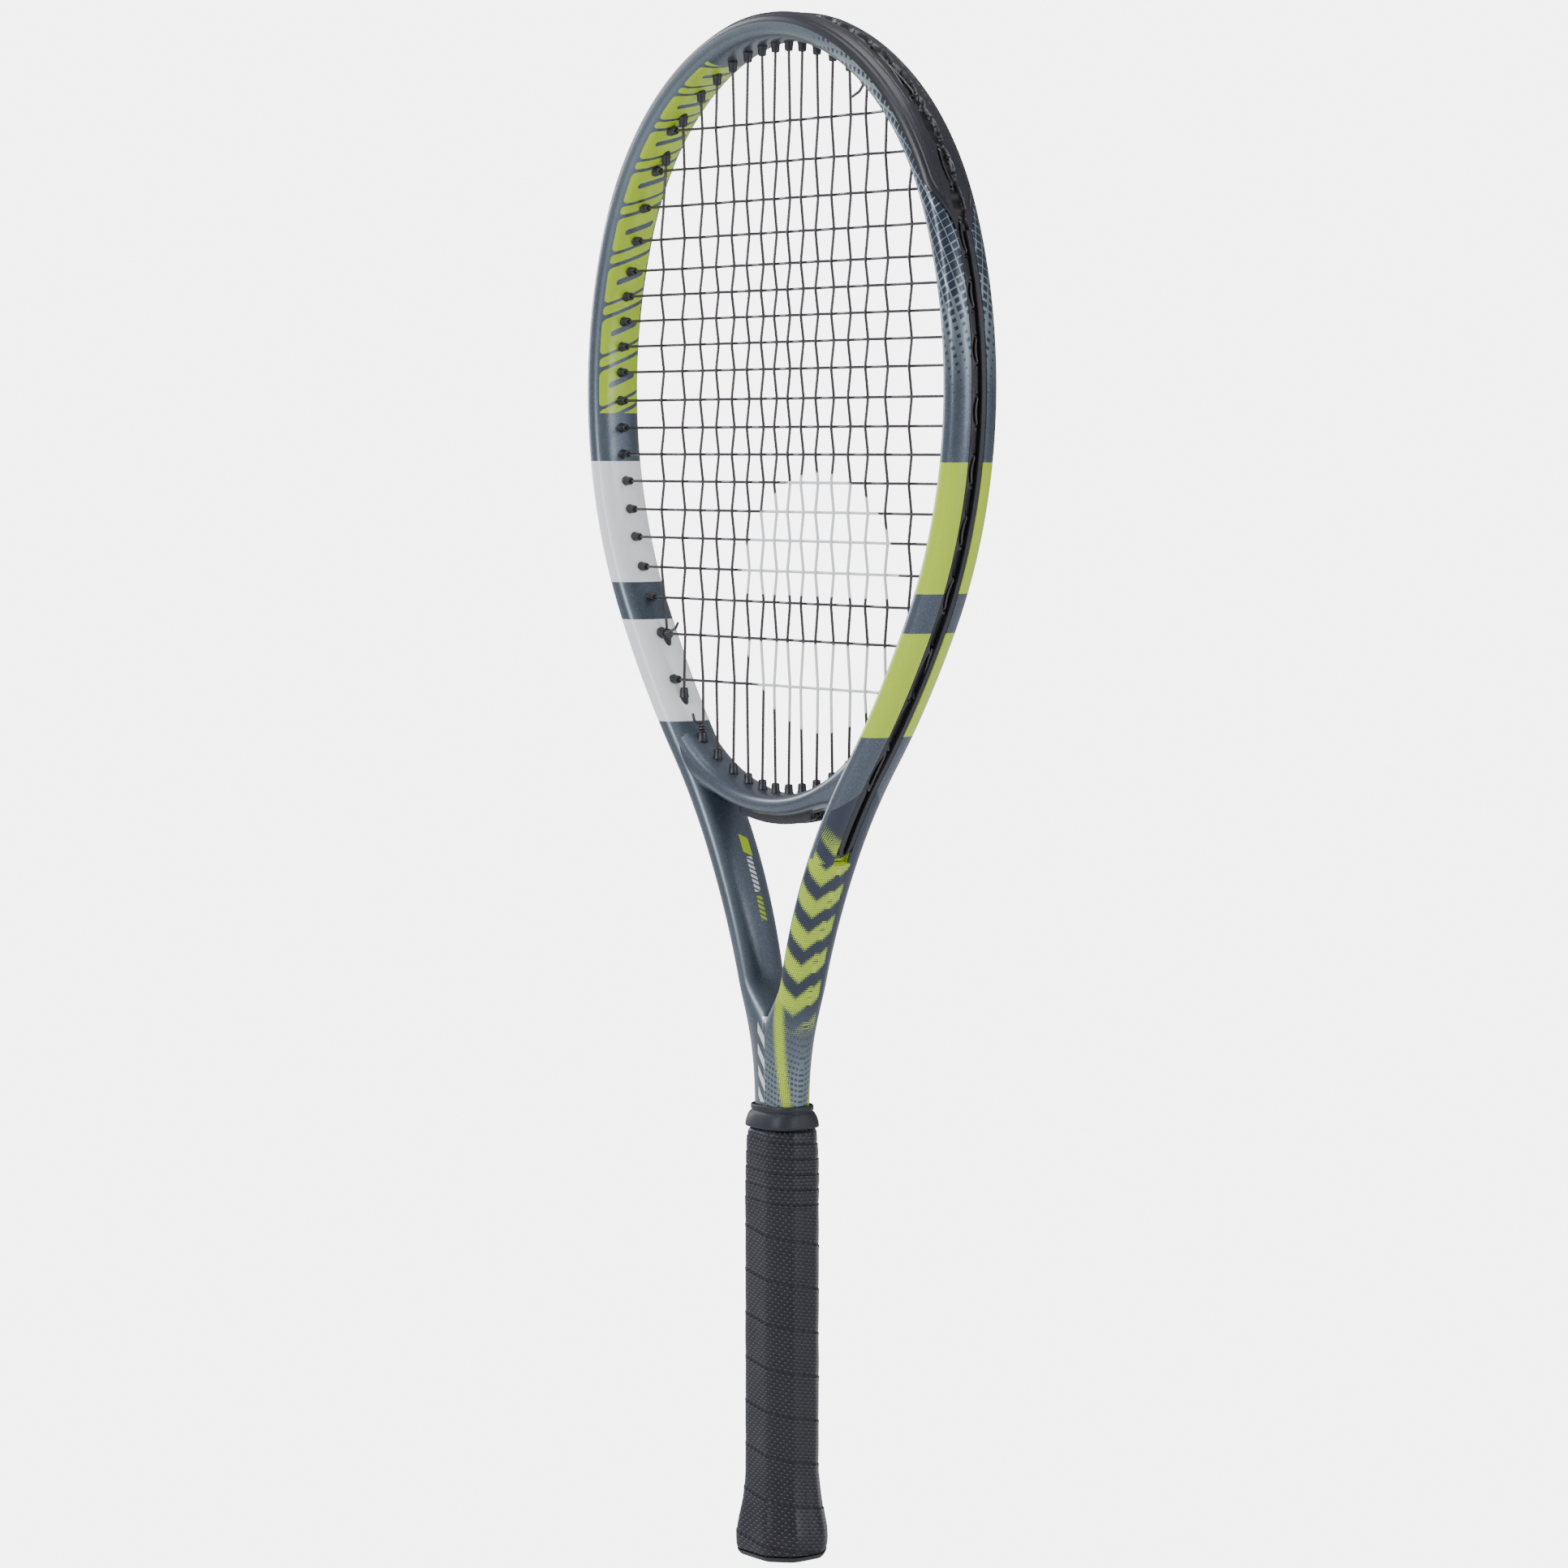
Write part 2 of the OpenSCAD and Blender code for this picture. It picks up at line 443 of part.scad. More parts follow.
// out of the last cross, down the arm and up through the foot of a main to the knot
function cross_end_run() =
    let(z0 = cross_z[18] - 1, x1 = main_x[5], z1 = foot_z(x1, lane),
        zf = foot_z(x1, 2 * arm_depth(foot_z(x1, 12))) + barrel_out, r = 2 * string_r + 0.1)
    concat([for (s = [0 : 4]) let(z = mix(z0, z1 + 1, s / 4))
               [-rim_x(z, lane), mix(-2.2, -shared, smooth(s - 3)), z]],
           [[-x1, -shared, foot_z(x1, lane + 1.2)], [-x1, -shared, zf]],
           [for (s = [0 : 10]) let(t = -72 * s - 10)
               [-x1 + r * sin(t), 0.35 - r * cos(t), zf + 1.2 + 0.19 * s]],
           [[-x1 - 2.4, -2.4, zf + 4.6], [-x1 - 3.2, -2.8, zf + 8]]);
module cross_string() { color(black) string(concat(cross_start(), cross_route(0), cross_end_run())); }

// ---- handle ----------------------------------------------------------------------------------
shaft_low = 9;
shaft_high = arc_from(5)[1];
module shaft_leg() {
    w = 1.8;
    translate([0, 0, shaft_low]) linear_extrude(shaft_high - shaft_low) difference() {
        intersection() {
            polygon(oval(shaft_half[0], shaft_half[1], 2.4, 28));
            translate([0, -20]) square([20, 40]);
        }
        intersection() {
            polygon(oval(shaft_half[0] - w, shaft_half[1] - w, 2.4, 24));
            translate([w / 2, -20]) square([20, 40]);
        }
    }
}
module left_shaft() { color(paint) mirror([1, 0, 0]) shaft_leg(); }
module right_shaft() { color(paint) shaft_leg(); }

pallet_low = 5;
pallet_high = 172;
staple_z = 19;
// half of the foam pallet, split along the wide faces
module pallet(side) {
    difference() {
        translate([0, 0, pallet_low]) linear_extrude(pallet_high - pallet_low) difference() {
            polygon(octagon(tape_thick + 0.1, 1));
            polygon(oval(shaft_half[0] + gap, shaft_half[1] + gap, 2.4, 28));
            translate([-30, side > 0 ? -40 : -gap / 2]) square([60, 40 + gap / 2]);
        }
        translate([0, 0, -20]) cube([8, 8, 40], center = true);
        staple_legs(0.08);
    }
}
module front_pallet() { color([0.75, 0.72, 0.6]) pallet(-1); }
module back_pallet() { color([0.75, 0.72, 0.6]) pallet(1); }

// swelling of the finished butt: [height, scale]
flare = [[2.6, 1.2], [4.5, 1.24], [8, 1.25], [12, 1.235], [16, 1.19], [20, 1.14],
         [25, 1.08], [31, 1.035], [38, 1.0]];
grip_top = [[168, 1.0], [180, 0.985], [188, 0.955], [191.7, 0.93], [193.3, 0.835], [196, 0.8]];
module grip_tape() {
    color(black) difference() {
        stack([for (f = concat(flare, grip_top)) [f[0], octagon(0, f[1])]]);
        stack(concat([[2, octagon(tape_thick, flare[0][1])]],
                     [for (f = flare) [f[0], octagon(tape_thick, f[1])]],
                     [for (f = grip_top) [f[0], octagon(min(tape_thick, 1.1), f[1])]],
                     [[197, octagon(1.1, 0.79)]]));
        translate([0, 0, 186]) linear_extrude(15)
            polygon(oval(shaft_half[0] + 0.12, shaft_half[1] + 0.12, 2.4, 28));
    }
}
module butt_cap() {
    color(black) difference() {
        stack(concat([[0, octagon(0, 1.06)], [0.9, octagon(0, 1.15)], [2.55, octagon(0, 1.2)],
                      [2.56, octagon(tape_thick + gap, 1.2)]],
                     [for (f = flare) if (f[0] > 3 && f[0] < 30) [f[0], octagon(tape_thick + gap, f[1])]],
                     [[29, octagon(tape_thick + gap, 1.05)]]));
        translate([0, 0, 4.9]) linear_extrude(40) polygon(octagon(tape_thick + 0.1 - gap, 1));
        translate([0, 0, -1]) linear_extrude(3) polygon(oval(11.6, 8.6, 3, 32));
        translate([0, 0, -1]) linear_extrude(8) polygon(oval(9.6, 6.6, 3, 32));
        staple_legs(0.08);
        staple_crowns(0.08);
        tack(0.08);
    }
}
// trap door: a plate in the base with a skirt that snaps past the ledge
module butt_lid() {
    color(black) {
        difference() {
            union() {
                translate([0, 0, 0.4]) linear_extrude(1.5) polygon(oval(11.45, 8.45, 3, 32));
                translate([0, 0, 1.8]) linear_extrude(3.4) polygon(oval(9.45, 6.45, 3, 32));
            }
            translate([0, 0, 1.9]) linear_extrude(8) polygon(oval(8.25, 5.25, 3, 28));
            translate([0, 0, 5]) cube([30, 5, 3.4], center = true);
            translate([10.9, 0, 0.4]) rotate([90, 0, 0]) cylinder(h = 5, r = 0.7, center = true);
        }
        translate([0, 0, 0.4]) mirror([0, 0, 1]) linear_extrude(0.25) difference() {
            polygon(oval(8.2, 5.4, 3, 32));
            polygon(oval(7.6, 4.8, 3, 28));
        }
    }
}
// staples through the cap's wide faces into the pallet, crown flush under the tape
function staple_y() = grip_face[1] * 1.15 - tape_thick - 0.1;
module staple_legs(c) {
    for (s = [-1, 1], x = [-4.3, 4.3])
        translate([x, s * (staple_y() - 2.4), staple_z])
            cube([0.7 + 2 * c, 4.6 + 2 * c, 0.5 + 2 * c], center = true);
}
module staple_crowns(c) {
    for (s = [-1, 1]) translate([0, s * (staple_y() - 0.35 + c), staple_z])
        cube([9.3 + 2 * c, 0.5 + 4 * c, 0.5 + 2 * c], center = true);
}
module butt_staples() {
    color([0.6, 0.6, 0.62]) { staple_legs(0); staple_crowns(0); }
}
// tack under the first turn of the tape
module tack(c) {
    x = grip_side[0] * 1.21 - tape_thick - 0.2;
    translate([x, 0, 12]) rotate([0, -90, 0]) {
        cylinder(h = 0.5 + c, r = 2 + c, $fn = 32);
        cylinder(h = 3.3 + c, r = 0.5 + c, $fn = 24);
    }
    if (c > 0) translate([x - 0.1, 0, 12]) rotate([0, 90, 0]) cylinder(h = 3, r = 2 + c, $fn = 32);
}
module tape_tack() { color([0.6, 0.6, 0.62]) tack(0); }
module finishing_tape() {
    color([0.12, 0.12, 0.13]) translate([0, 0, 196.1]) linear_extrude(5) difference() {
        polygon(oval(shaft_half[0] + 0.56, shaft_half[1] + 0.52, 2.4, 32));
        polygon(oval(shaft_half[0] + 0.3, shaft_half[1] + 0.26, 2.4, 32));
    }
}
module grip_collar() {
    lip = [shaft_half[0] + 1.0, shaft_half[1] + 0.85];
    color(black) difference() {
        stack([[193.4, oval(15.6, 13.7, 3, 32)], [194, oval(15.9, 14, 3, 32)], [196.5, oval(15.6, 13.6, 3, 32)],
               [199.2, oval(15, 12.8, 2.8, 32)], [200.3, oval(14.5, 12.1, 2.6, 32)],
               [200.8, oval(14.2, 11.7, 2.5, 32)], [201.3, oval(14.7, 12.1, 2.5, 32)],
               [203, oval(14.7, 12.1, 2.5, 32)], [203.5, oval(14.4, 11.8, 2.5, 32)]]);
        stack([[193, oval(14.95, 13.1, 3, 32)], [196.4, oval(14.75, 12.75, 3, 32)],
               [199.5, oval(lip[0], lip[1], 2.5, 32)], [205, oval(lip[0], lip[1], 2.5, 32)]]);
    }
}

hoop_tube();
left_arm();
right_arm();
bridge_tube();
left_shaft();
right_shaft();
bumper_guard();
left_strip();
right_strip();
bridge_strip();
mains_string();
cross_string();
front_pallet();
back_pallet();
butt_cap();
butt_lid();
butt_staples();
tape_tack();
grip_tape();
finishing_tape();
grip_collar();
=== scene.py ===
"""Looks of the tennis racket: swept frame, moulded grommet strips, woven strings and wrapped grip."""

import math

import bpy
import numpy as np
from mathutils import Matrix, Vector


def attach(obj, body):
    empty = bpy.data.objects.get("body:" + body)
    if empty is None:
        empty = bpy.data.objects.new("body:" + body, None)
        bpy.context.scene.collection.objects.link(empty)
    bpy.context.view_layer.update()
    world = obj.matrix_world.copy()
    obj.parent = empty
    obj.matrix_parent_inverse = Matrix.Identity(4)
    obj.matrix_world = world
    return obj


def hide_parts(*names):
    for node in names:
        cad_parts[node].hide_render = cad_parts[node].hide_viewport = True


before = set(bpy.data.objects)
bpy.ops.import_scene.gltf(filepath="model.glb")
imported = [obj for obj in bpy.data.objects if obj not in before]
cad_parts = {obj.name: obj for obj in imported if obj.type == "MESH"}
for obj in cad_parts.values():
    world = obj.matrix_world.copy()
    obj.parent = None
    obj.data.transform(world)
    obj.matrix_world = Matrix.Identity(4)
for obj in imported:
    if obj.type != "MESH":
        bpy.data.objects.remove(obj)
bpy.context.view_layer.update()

MM = 0.001  # one millimetre, in Blender's metres
V = np.array

# ---- outline of the frame, in millimetres ----
CROWN_TOP = 685.0
ARC_RADIUS = (113.3, 138.3, 217.6, 428.7, -265.5)
ARC_ANGLE = (19.0, 50.3, 49.1, 9.7, 38.1)
TUBE_HALF, BEAM_HALF, TUBE_POWER = 6.5, 12.5, 2.7
ARM_HALF, SHAFT_HALF = 5.7, (12.8, 10.5)
THROAT_LOW = 240.0
CHANNEL_HALF, CHANNEL_DEPTH = 4.2, 3.6
BRIDGE_CENTRE, BRIDGE_UPPER, BRIDGE_LOWER, BRIDGE_HALF = 436.0, 94.0, 104.0, 11.5
STRIP_LOW = 313.0
BUMPER_SKIN, BUMPER_HALF = 1.4, 12.4
STRING_R = 0.64
MAIN_X = (4.8, 14.4, 24.8, 35.9, 47.6, 59.6, 73.2, 89.3)
CROSS_Z = (637.5, 620.1, 603.9, 589.2, 575.5, 564.1, 552.7, 541.2, 529.4, 516.4,
           503.9, 491.8, 479.5, 466.6, 453.9, 440.3, 426.5, 410.1, 389.6)
BARREL_OUT = 4.2
BARREL_SHIFT = 2.12
SHARED = 0.78
SPARE_X = 66.6
LANE = 1.76
BRIDGE_LANE = 106.3
FLUSH_LANE = 104.95
OUTER_SHY = 0.32  # how far every outer surface stays inside the outline
BRIDGE_SUNK = 3.0  # how far the bridge's ends run into the arms
WEAVE = STRING_R + 0.04  # how far woven strings swing off the middle plane
WEAVE_FLAT = 0.9  # half the length over which they lie flat on each other
HOLE_DEPTH = 2.4  # how far inside the outline the barrels are rooted
SHARED_SCALE = 1.25  # size of a barrel that two strings share
LANE_RISE = 1.2  # further depth at which a string turns into its hole

HEADING = [0.0]
START = [V([0.0, CROWN_TOP])]
CENTRE = []
REACHED = [0.0]  # outline length where each arc starts
for radius, angle in zip(ARC_RADIUS, ARC_ANGLE):
    h = math.radians(HEADING[-1])
    CENTRE.append(START[-1] - radius * V([math.sin(h), math.cos(h)]))
    HEADING.append(HEADING[-1] + math.copysign(angle, radius))
    h = math.radians(HEADING[-1])
    START.append(CENTRE[-1] + radius * V([math.sin(h), math.cos(h)]))
    REACHED.append(REACHED[-1] + abs(radius) * math.radians(angle))


def mix(a, b, t):
    return a + (b - a) * t


def smooth(t):
    t = np.clip(t, 0, 1)
    return t * t * (3 - 2 * t)


def squared(wave, power):
    """Turns a circle's cosine or sine into a rounded square's."""
    return np.sign(wave) * np.abs(wave) ** (2 / power)


def bump_at(t, width):
    """1 at t = 0, falling smoothly to 0 at width either side."""
    return smooth(1 - np.abs(t) / width)


def rim(arc, heading, depth):
    """Point (x, z) inside the outline by depth where it heads that way."""
    h = math.radians(heading)
    return CENTRE[arc] + (ARC_RADIUS[arc] - depth) * V([math.sin(h), math.cos(h)])


def station(length):
    """Arc and heading at a length along the outline from the crown."""
    arc = max(k for k in range(5) if REACHED[k] <= max(length, 0) + 1e-9)
    share = (length - REACHED[arc]) / (REACHED[arc + 1] - REACHED[arc])
    return arc, mix(HEADING[arc], HEADING[arc + 1], share)


def length_at(arc, heading):
    share = (heading - HEADING[arc]) / (HEADING[arc + 1] - HEADING[arc])
    return mix(REACHED[arc], REACHED[arc + 1], share)


def arc_at_z(z):
    return 1 if z > START[2][1] else 2 if z > START[3][1] else 3 if z > START[4][1] else 4


def heading_at_z(z, depth):
    arc = arc_at_z(z)
    return math.degrees(math.acos((z - CENTRE[arc][1]) / (ARC_RADIUS[arc] - depth)))


def rim_x(z, depth):
    return rim(arc_at_z(z), heading_at_z(z, depth), depth)[0]


def length_at_z(z):
    return length_at(arc_at_z(z), heading_at_z(z, 0))


def crown_heading(x, depth):
    arc = 0 if x < START[1][0] else 1
    return math.degrees(math.asin((x - CENTRE[arc][0]) / (ARC_RADIUS[arc] - depth)))


def crown_z(x, depth):
    return rim(0 if x < START[1][0] else 1, crown_heading(x, depth), depth)[1]


def foot_z(x, depth):
    arc = 3 if x > START[4][0] else 4
    h = 180 - math.degrees(math.asin((x - CENTRE[arc][0]) / (ARC_RADIUS[arc] - depth)))
    return rim(arc, h, depth)[1]


def bridge_z(x, radius):
    return BRIDGE_CENTRE - math.sqrt(radius * radius - x * x)


def arm_depth(z):
    return mix(ARM_HALF, TUBE_HALF, smooth((z - 350) / 60))


def arm_beam(z):
    return mix(SHAFT_HALF[1], BEAM_HALF, smooth((z - 205) / 110))


def arm_power(z):
    return mix(2.4, TUBE_POWER, smooth((z - 210) / 100))


def face(y, half, beam, power):
    """How far a tube's rounded outer face falls back at y."""
    return half * ((1 - np.minimum(1, np.abs(y) / beam) ** power) ** (1 / power) - 1)


# ---- meshes ----
def build(name, points, faces, fields=None, crisp=None):
    """Mesh object from points in millimetres, with named numbers at its points.

    Edges sharper than crisp degrees stay crisp; the rest are smooth."""
    mesh = bpy.data.meshes.new(name)
    mesh.from_pydata((np.asarray(points, float) * MM).tolist(), [], faces)
    mesh.validate()
    for key, values in (fields or {}).items():
        layer = mesh.attributes.new(key, "FLOAT", "POINT")
        layer.data.foreach_set("value", np.asarray(values, np.float32).ravel())
    mesh.polygons.foreach_set("use_smooth", [True] * len(mesh.polygons))
    if crisp:
        sharpen(mesh, crisp)
    obj = bpy.data.objects.new(name, mesh)
    bpy.context.scene.collection.objects.link(obj)
    return obj


def swept(rings, flip=False, closed=False):
    """Points and faces of a skin over rings: capped, or closed by joining the last ring to the first."""
    rings = np.asarray(rings, float)
    rows, cols = rings.shape[:2]
    faces = []
    for j in range(rows if closed else rows - 1):
        here, there = j * cols, (j + 1) % rows * cols
        for i in range(cols):
            k = (i + 1) % cols
            faces.append([here + i, here + k, there + k, there + i])
    if not closed:
        faces += [list(range(cols))[::-1], [(rows - 1) * cols + i for i in range(cols)]]
    return rings.reshape(-1, 3), [f[::-1] for f in faces] if flip else faces


def joined(parts):
    """One list of points and faces from several."""
    points, faces, base = [], [], 0
    for p, f in parts:
        points.append(np.asarray(p, float))
        faces += [[base + i for i in q] for q in f]
        base += len(p)
    return np.vstack(points), faces


def sharpen(mesh, degrees):
    """Marks the edges sharper than an angle."""
    mesh.update()
    normals = np.zeros(len(mesh.polygons) * 3)
    mesh.polygons.foreach_get("normal", normals)
    normals = normals.reshape(-1, 3)
    owners = {}
    for poly in mesh.polygons:
        for key in poly.edge_keys:
            owners.setdefault(key, []).append(poly.index)
    limit = math.cos(math.radians(degrees))
    for edge in mesh.edges:
        pair = owners.get(tuple(sorted(edge.vertices)), [])
        edge.use_edge_sharp = len(pair) != 2 or float(normals[pair[0]] @ normals[pair[1]]) < limit


def across(direction):
    """Two unit vectors square to a unit direction."""
    side = np.cross(direction, V([0.0, 1.0, 0.0]) if abs(direction[1]) < 0.9 else V([1.0, 0.0, 0.0]))
    side /= np.linalg.norm(side)
    return side, np.cross(direction, side)


def around_circle(count):
    return np.linspace(0, 2 * math.pi, count, endpoint=False)


def lathe(start, end, profile, count=24):
    """Closed turned solid along start to end; the profile is a closed list of (distance, radius)."""
    d = (end - start) / np.linalg.norm(end - start)
    side, up = across(d)
    ang = around_circle(count)
    spokes = np.outer(np.cos(ang), side) + np.outer(np.sin(ang), up)
    return swept([start + d * t + r * spokes for t, r in profile], flip=True, closed=True)


# ---- fields and materials ----
class Field:
    """A number that shader nodes work out at each point of a surface."""
    tree = None

    def __init__(self, socket):
        self.socket = socket

    @staticmethod
    def math(op, *values, clamp=False):
        node = Field.tree.nodes.new("ShaderNodeMath")
        node.operation = op
        node.use_clamp = clamp
        for slot, value in zip(node.inputs, values):
            if isinstance(value, Field):
                Field.tree.links.new(value.socket, slot)
            else:
                slot.default_value = value
        return Field(node.outputs[0])

    def __add__(self, o): return Field.math("ADD", self, o)
    def __radd__(self, o): return Field.math("ADD", o, self)
    def __sub__(self, o): return Field.math("SUBTRACT", self, o)
    def __rsub__(self, o): return Field.math("SUBTRACT", o, self)
    def __mul__(self, o): return Field.math("MULTIPLY", self, o)
    def __rmul__(self, o): return Field.math("MULTIPLY", o, self)
    def __truediv__(self, o): return Field.math("DIVIDE", self, o)
    def __abs__(self): return Field.math("ABSOLUTE", self)
    def fract(self): return Field.math("FRACT", self)
    def floor(self): return Field.math("FLOOR", self)
    def clamp(self): return Field.math("ADD", self, 0.0, clamp=True)
    def least(self, o): return Field.math("MINIMUM", self, o)
    def most(self, o): return Field.math("MAXIMUM", self, o)

    def above(self, level, soft=0.12):
        """1 where the field is over level, 0 under it, over a soft width."""
        return Field.math("MULTIPLY_ADD", self - level, 1 / soft, 0.5, clamp=True)

    def below(self, level, soft=0.12):
        return Field.math("MULTIPLY_ADD", level - self, 1 / soft, 0.5, clamp=True)

    def between(self, low, high, soft=0.12):
        return self.above(low, soft) * self.below(high, soft)


def attribute(name):
    node = Field.tree.nodes.new("ShaderNodeAttribute")
    node.attribute_name = name
    return Field(node.outputs["Fac"])


def place_mm():
    """The point's own x, y and z in millimetres, at rest."""
    coord = Field.tree.nodes.new("ShaderNodeTexCoord")
    split = Field.tree.nodes.new("ShaderNodeSeparateXYZ")
    Field.tree.links.new(coord.outputs["Object"], split.inputs[0])
    return [Field(split.outputs[i]) * 1000.0 for i in range(3)]


def noise(scale, detail=3.0, rough=0.5, stretch=(1, 1, 1)):
    """Random field from 0 to 1; scale is in features per metre."""
    coord = Field.tree.nodes.new("ShaderNodeTexCoord")
    mapping = Field.tree.nodes.new("ShaderNodeMapping")
    mapping.inputs["Scale"].default_value = stretch
    node = Field.tree.nodes.new("ShaderNodeTexNoise")
    node.inputs["Scale"].default_value = scale
    node.inputs["Detail"].default_value = detail
    node.inputs["Roughness"].default_value = rough
    Field.tree.links.new(coord.outputs["Object"], mapping.inputs["Vector"])
    Field.tree.links.new(mapping.outputs["Vector"], node.inputs["Vector"])
    return Field(node.outputs["Fac"])


def speckle(scale):
    """Random value of small cells, for metal flakes."""
    coord = Field.tree.nodes.new("ShaderNodeTexCoord")
    node = Field.tree.nodes.new("ShaderNodeTexVoronoi")
    node.inputs["Scale"].default_value = scale
    Field.tree.links.new(coord.outputs["Object"], node.inputs["Vector"])
    split = Field.tree.nodes.new("ShaderNodeSeparateColor")
    Field.tree.links.new(node.outputs["Color"], split.inputs[0])
    return Field(split.outputs[0])


def paint_over(under, over, amount):
    """Colour over another by a field; colours are sockets or RGB triples."""
    node = Field.tree.nodes.new("ShaderNodeMix")
    node.data_type = "RGBA"
    for key, value in ((6, under), (7, over)):
        if isinstance(value, (tuple, list)):
            node.inputs[key].default_value = (*value, 1.0)
        else:
            Field.tree.links.new(value, node.inputs[key])
    Field.tree.links.new(amount.socket, node.inputs[0])
    return node.outputs[2]


def material(name, metallic=0.0, coat=0.0, coat_roughness=0.2, specular=0.5):
    """New material, whose nodes the fields then join."""
    mat = bpy.data.materials.new(name)
    mat.use_nodes = True
    Field.tree = mat.node_tree
    inputs = mat.node_tree.nodes["Principled BSDF"].inputs
    inputs["Metallic"].default_value = metallic
    inputs["Coat Weight"].default_value = coat
    inputs["Coat Roughness"].default_value = coat_roughness
    inputs["Specular IOR Level"].default_value = specular
    return mat


def dressed(mat, colour, roughness, height=None, depth=0.1, metallic=None):
    """Joins a colour, a roughness and a bump height (depth in millimetres) to a material's shader."""
    links, inputs = Field.tree.links, Field.tree.nodes["Principled BSDF"].inputs
    links.new(colour, inputs["Base Color"])
    links.new(roughness.socket, inputs["Roughness"])
    if metallic is not None:
        links.new(metallic.socket, inputs["Metallic"])
    if height is not None:
        bump = Field.tree.nodes.new("ShaderNodeBump")
        bump.inputs["Strength"].default_value = 1.0
        bump.inputs["Distance"].default_value = depth * MM
        links.new(height.socket, bump.inputs["Height"])
        links.new(bump.outputs["Normal"], inputs["Normal"])
    return mat


SLATE = (0.088, 0.113, 0.150)
SLATE_DEEP = (0.050, 0.067, 0.096)
SILVER = (0.32, 0.40, 0.43)
LIME = (0.50, 0.70, 0.004)
LIME_DEEP = (0.38, 0.56, 0.002)
WHITE = (0.92, 0.92, 0.94)
NAVY = (0.024, 0.034, 0.062)
BLACK = (0.010, 0.0105, 0.016)

# prints, in millimetres: heights, or lengths along the outline from the crown
BANDS = ((433.3, 488.6), (371.0, 416.4))
BLOCK_RUN, CHECK_RUN, CHECK_PITCH = (46.0, 247.5), (38.0, 256.0), (3.7, 3.9)
CHEVRON_PITCH, DOT_PITCH = 15.6, 0.92
STENCIL_AT, STENCIL_R, STENCIL_GAP = (27.0, 427.0), 57.0, (409.0, 430.0)
# the length along the outline, then the distances round from the inner and from the outer middle
PAINT_FIELDS = ("along", "away", "inward")


def rounded_box(dx, dy, hx, hy, radius):
    """Field below 0 inside a box of half sizes hx, hy with round corners."""
    qx = (abs(dx) - (hx - radius)).most(0.0)
    qy = (abs(dy) - (hy - radius)).most(0.0)
    return Field.math("SQRT", qx * qx + qy * qy) - radius


def leaning_blocks(along, around, pitch, low, high, slant):
    """Row of leaning shapes across a strip: a wide slotted block, then a thin bar, over and over."""
    middle = (low + high) / 2
    across_strip = around - middle
    run = ((along + around * slant) / pitch).fract() * pitch
    tall = (high - low) / 2
    block = rounded_box(run - 9.2, across_strip, 8.6, tall, 2.4).below(0.0, 0.25)
    slot = rounded_box(run - 9.2, across_strip, 1.5, tall - 4.6, 1.4).below(0.0, 0.25)
    bar = rounded_box(run - 21.6, across_strip, 2.2, tall, 1.6).below(0.0, 0.25)
    return block * (1.0 - slot) + bar


def halftone(u, v, strength):
    """Dots on a square net that swell with strength from 0 to 1 until they touch."""
    a, b = (u / DOT_PITCH).fract() - 0.5, (v / DOT_PITCH).fract() - 0.5
    return (a * a + b * b).below(strength.clamp() * 0.30 - 0.03, 0.07)


def bare_paint(along, away):
    """Metallic slate with flakes: painted shade on the outer faces, darker at the crown, and painted
    highlights along the front edges.
    """
    cloud, flake = noise(26, 3, 0.55), speckle(4200)
    colour = paint_over(SLATE, SLATE_DEEP, (cloud * 1.2 - 0.25).clamp())
    # painted shade: the outer faces are darkened towards SLATE_DEEP; the crown is darker too
    outward = ((away - 14.0) / 14.0).clamp() * 0.55
    crown = along.below(92.0, 80.0) * 0.9
    colour = paint_over(colour, SLATE_DEEP, (outward + crown).clamp())
    # painted highlights: lighter silver along the front edges of the sides and of the crown
    side_edge_highlight = away.between(9.0, 14.5, 3.0) * along.above(40.0, 60.0) * 0.13
    crown_edge_highlight = away.between(12.5, 19.0, 3.0) * along.below(150.0, 60.0) * 0.18
    colour = paint_over(colour, SILVER, (side_edge_highlight + crown_edge_highlight).clamp())
    return paint_over(colour, SILVER, flake.above(0.93, 0.05) * 0.30), cloud, flake


def checker(colour, along, away, print_area):
    """Checks that swell and fade along the head's faces, over a silver ground."""
    u, v = (along + away * 0.50) / CHECK_PITCH[0], (away - along * 0.22) / CHECK_PITCH[1]
    chance = (Field.math("SINE", u.floor() * 12.9 + v.floor() * 78.2) * 43.7).fract()
    swell = 0.45 * along.above(44.0, 10.0) + 0.55 * along.above(104.0, 60.0)
    size = swell * along.below(216.0, 68.0) * (0.74 + 0.42 * chance)
    cell = abs(u.fract() - 0.5).most(abs(v.fract() - 0.5)) * 2.0
    ground = along.above(60.0, 40.0) * along.below(214.0, 50.0) * print_area
    colour = paint_over(colour, SILVER, ground * 0.70)
    checks = cell.below(size.least(0.90), 0.10) * print_area * along.between(*CHECK_RUN, 1.0)
    return paint_over(colour, NAVY, checks)


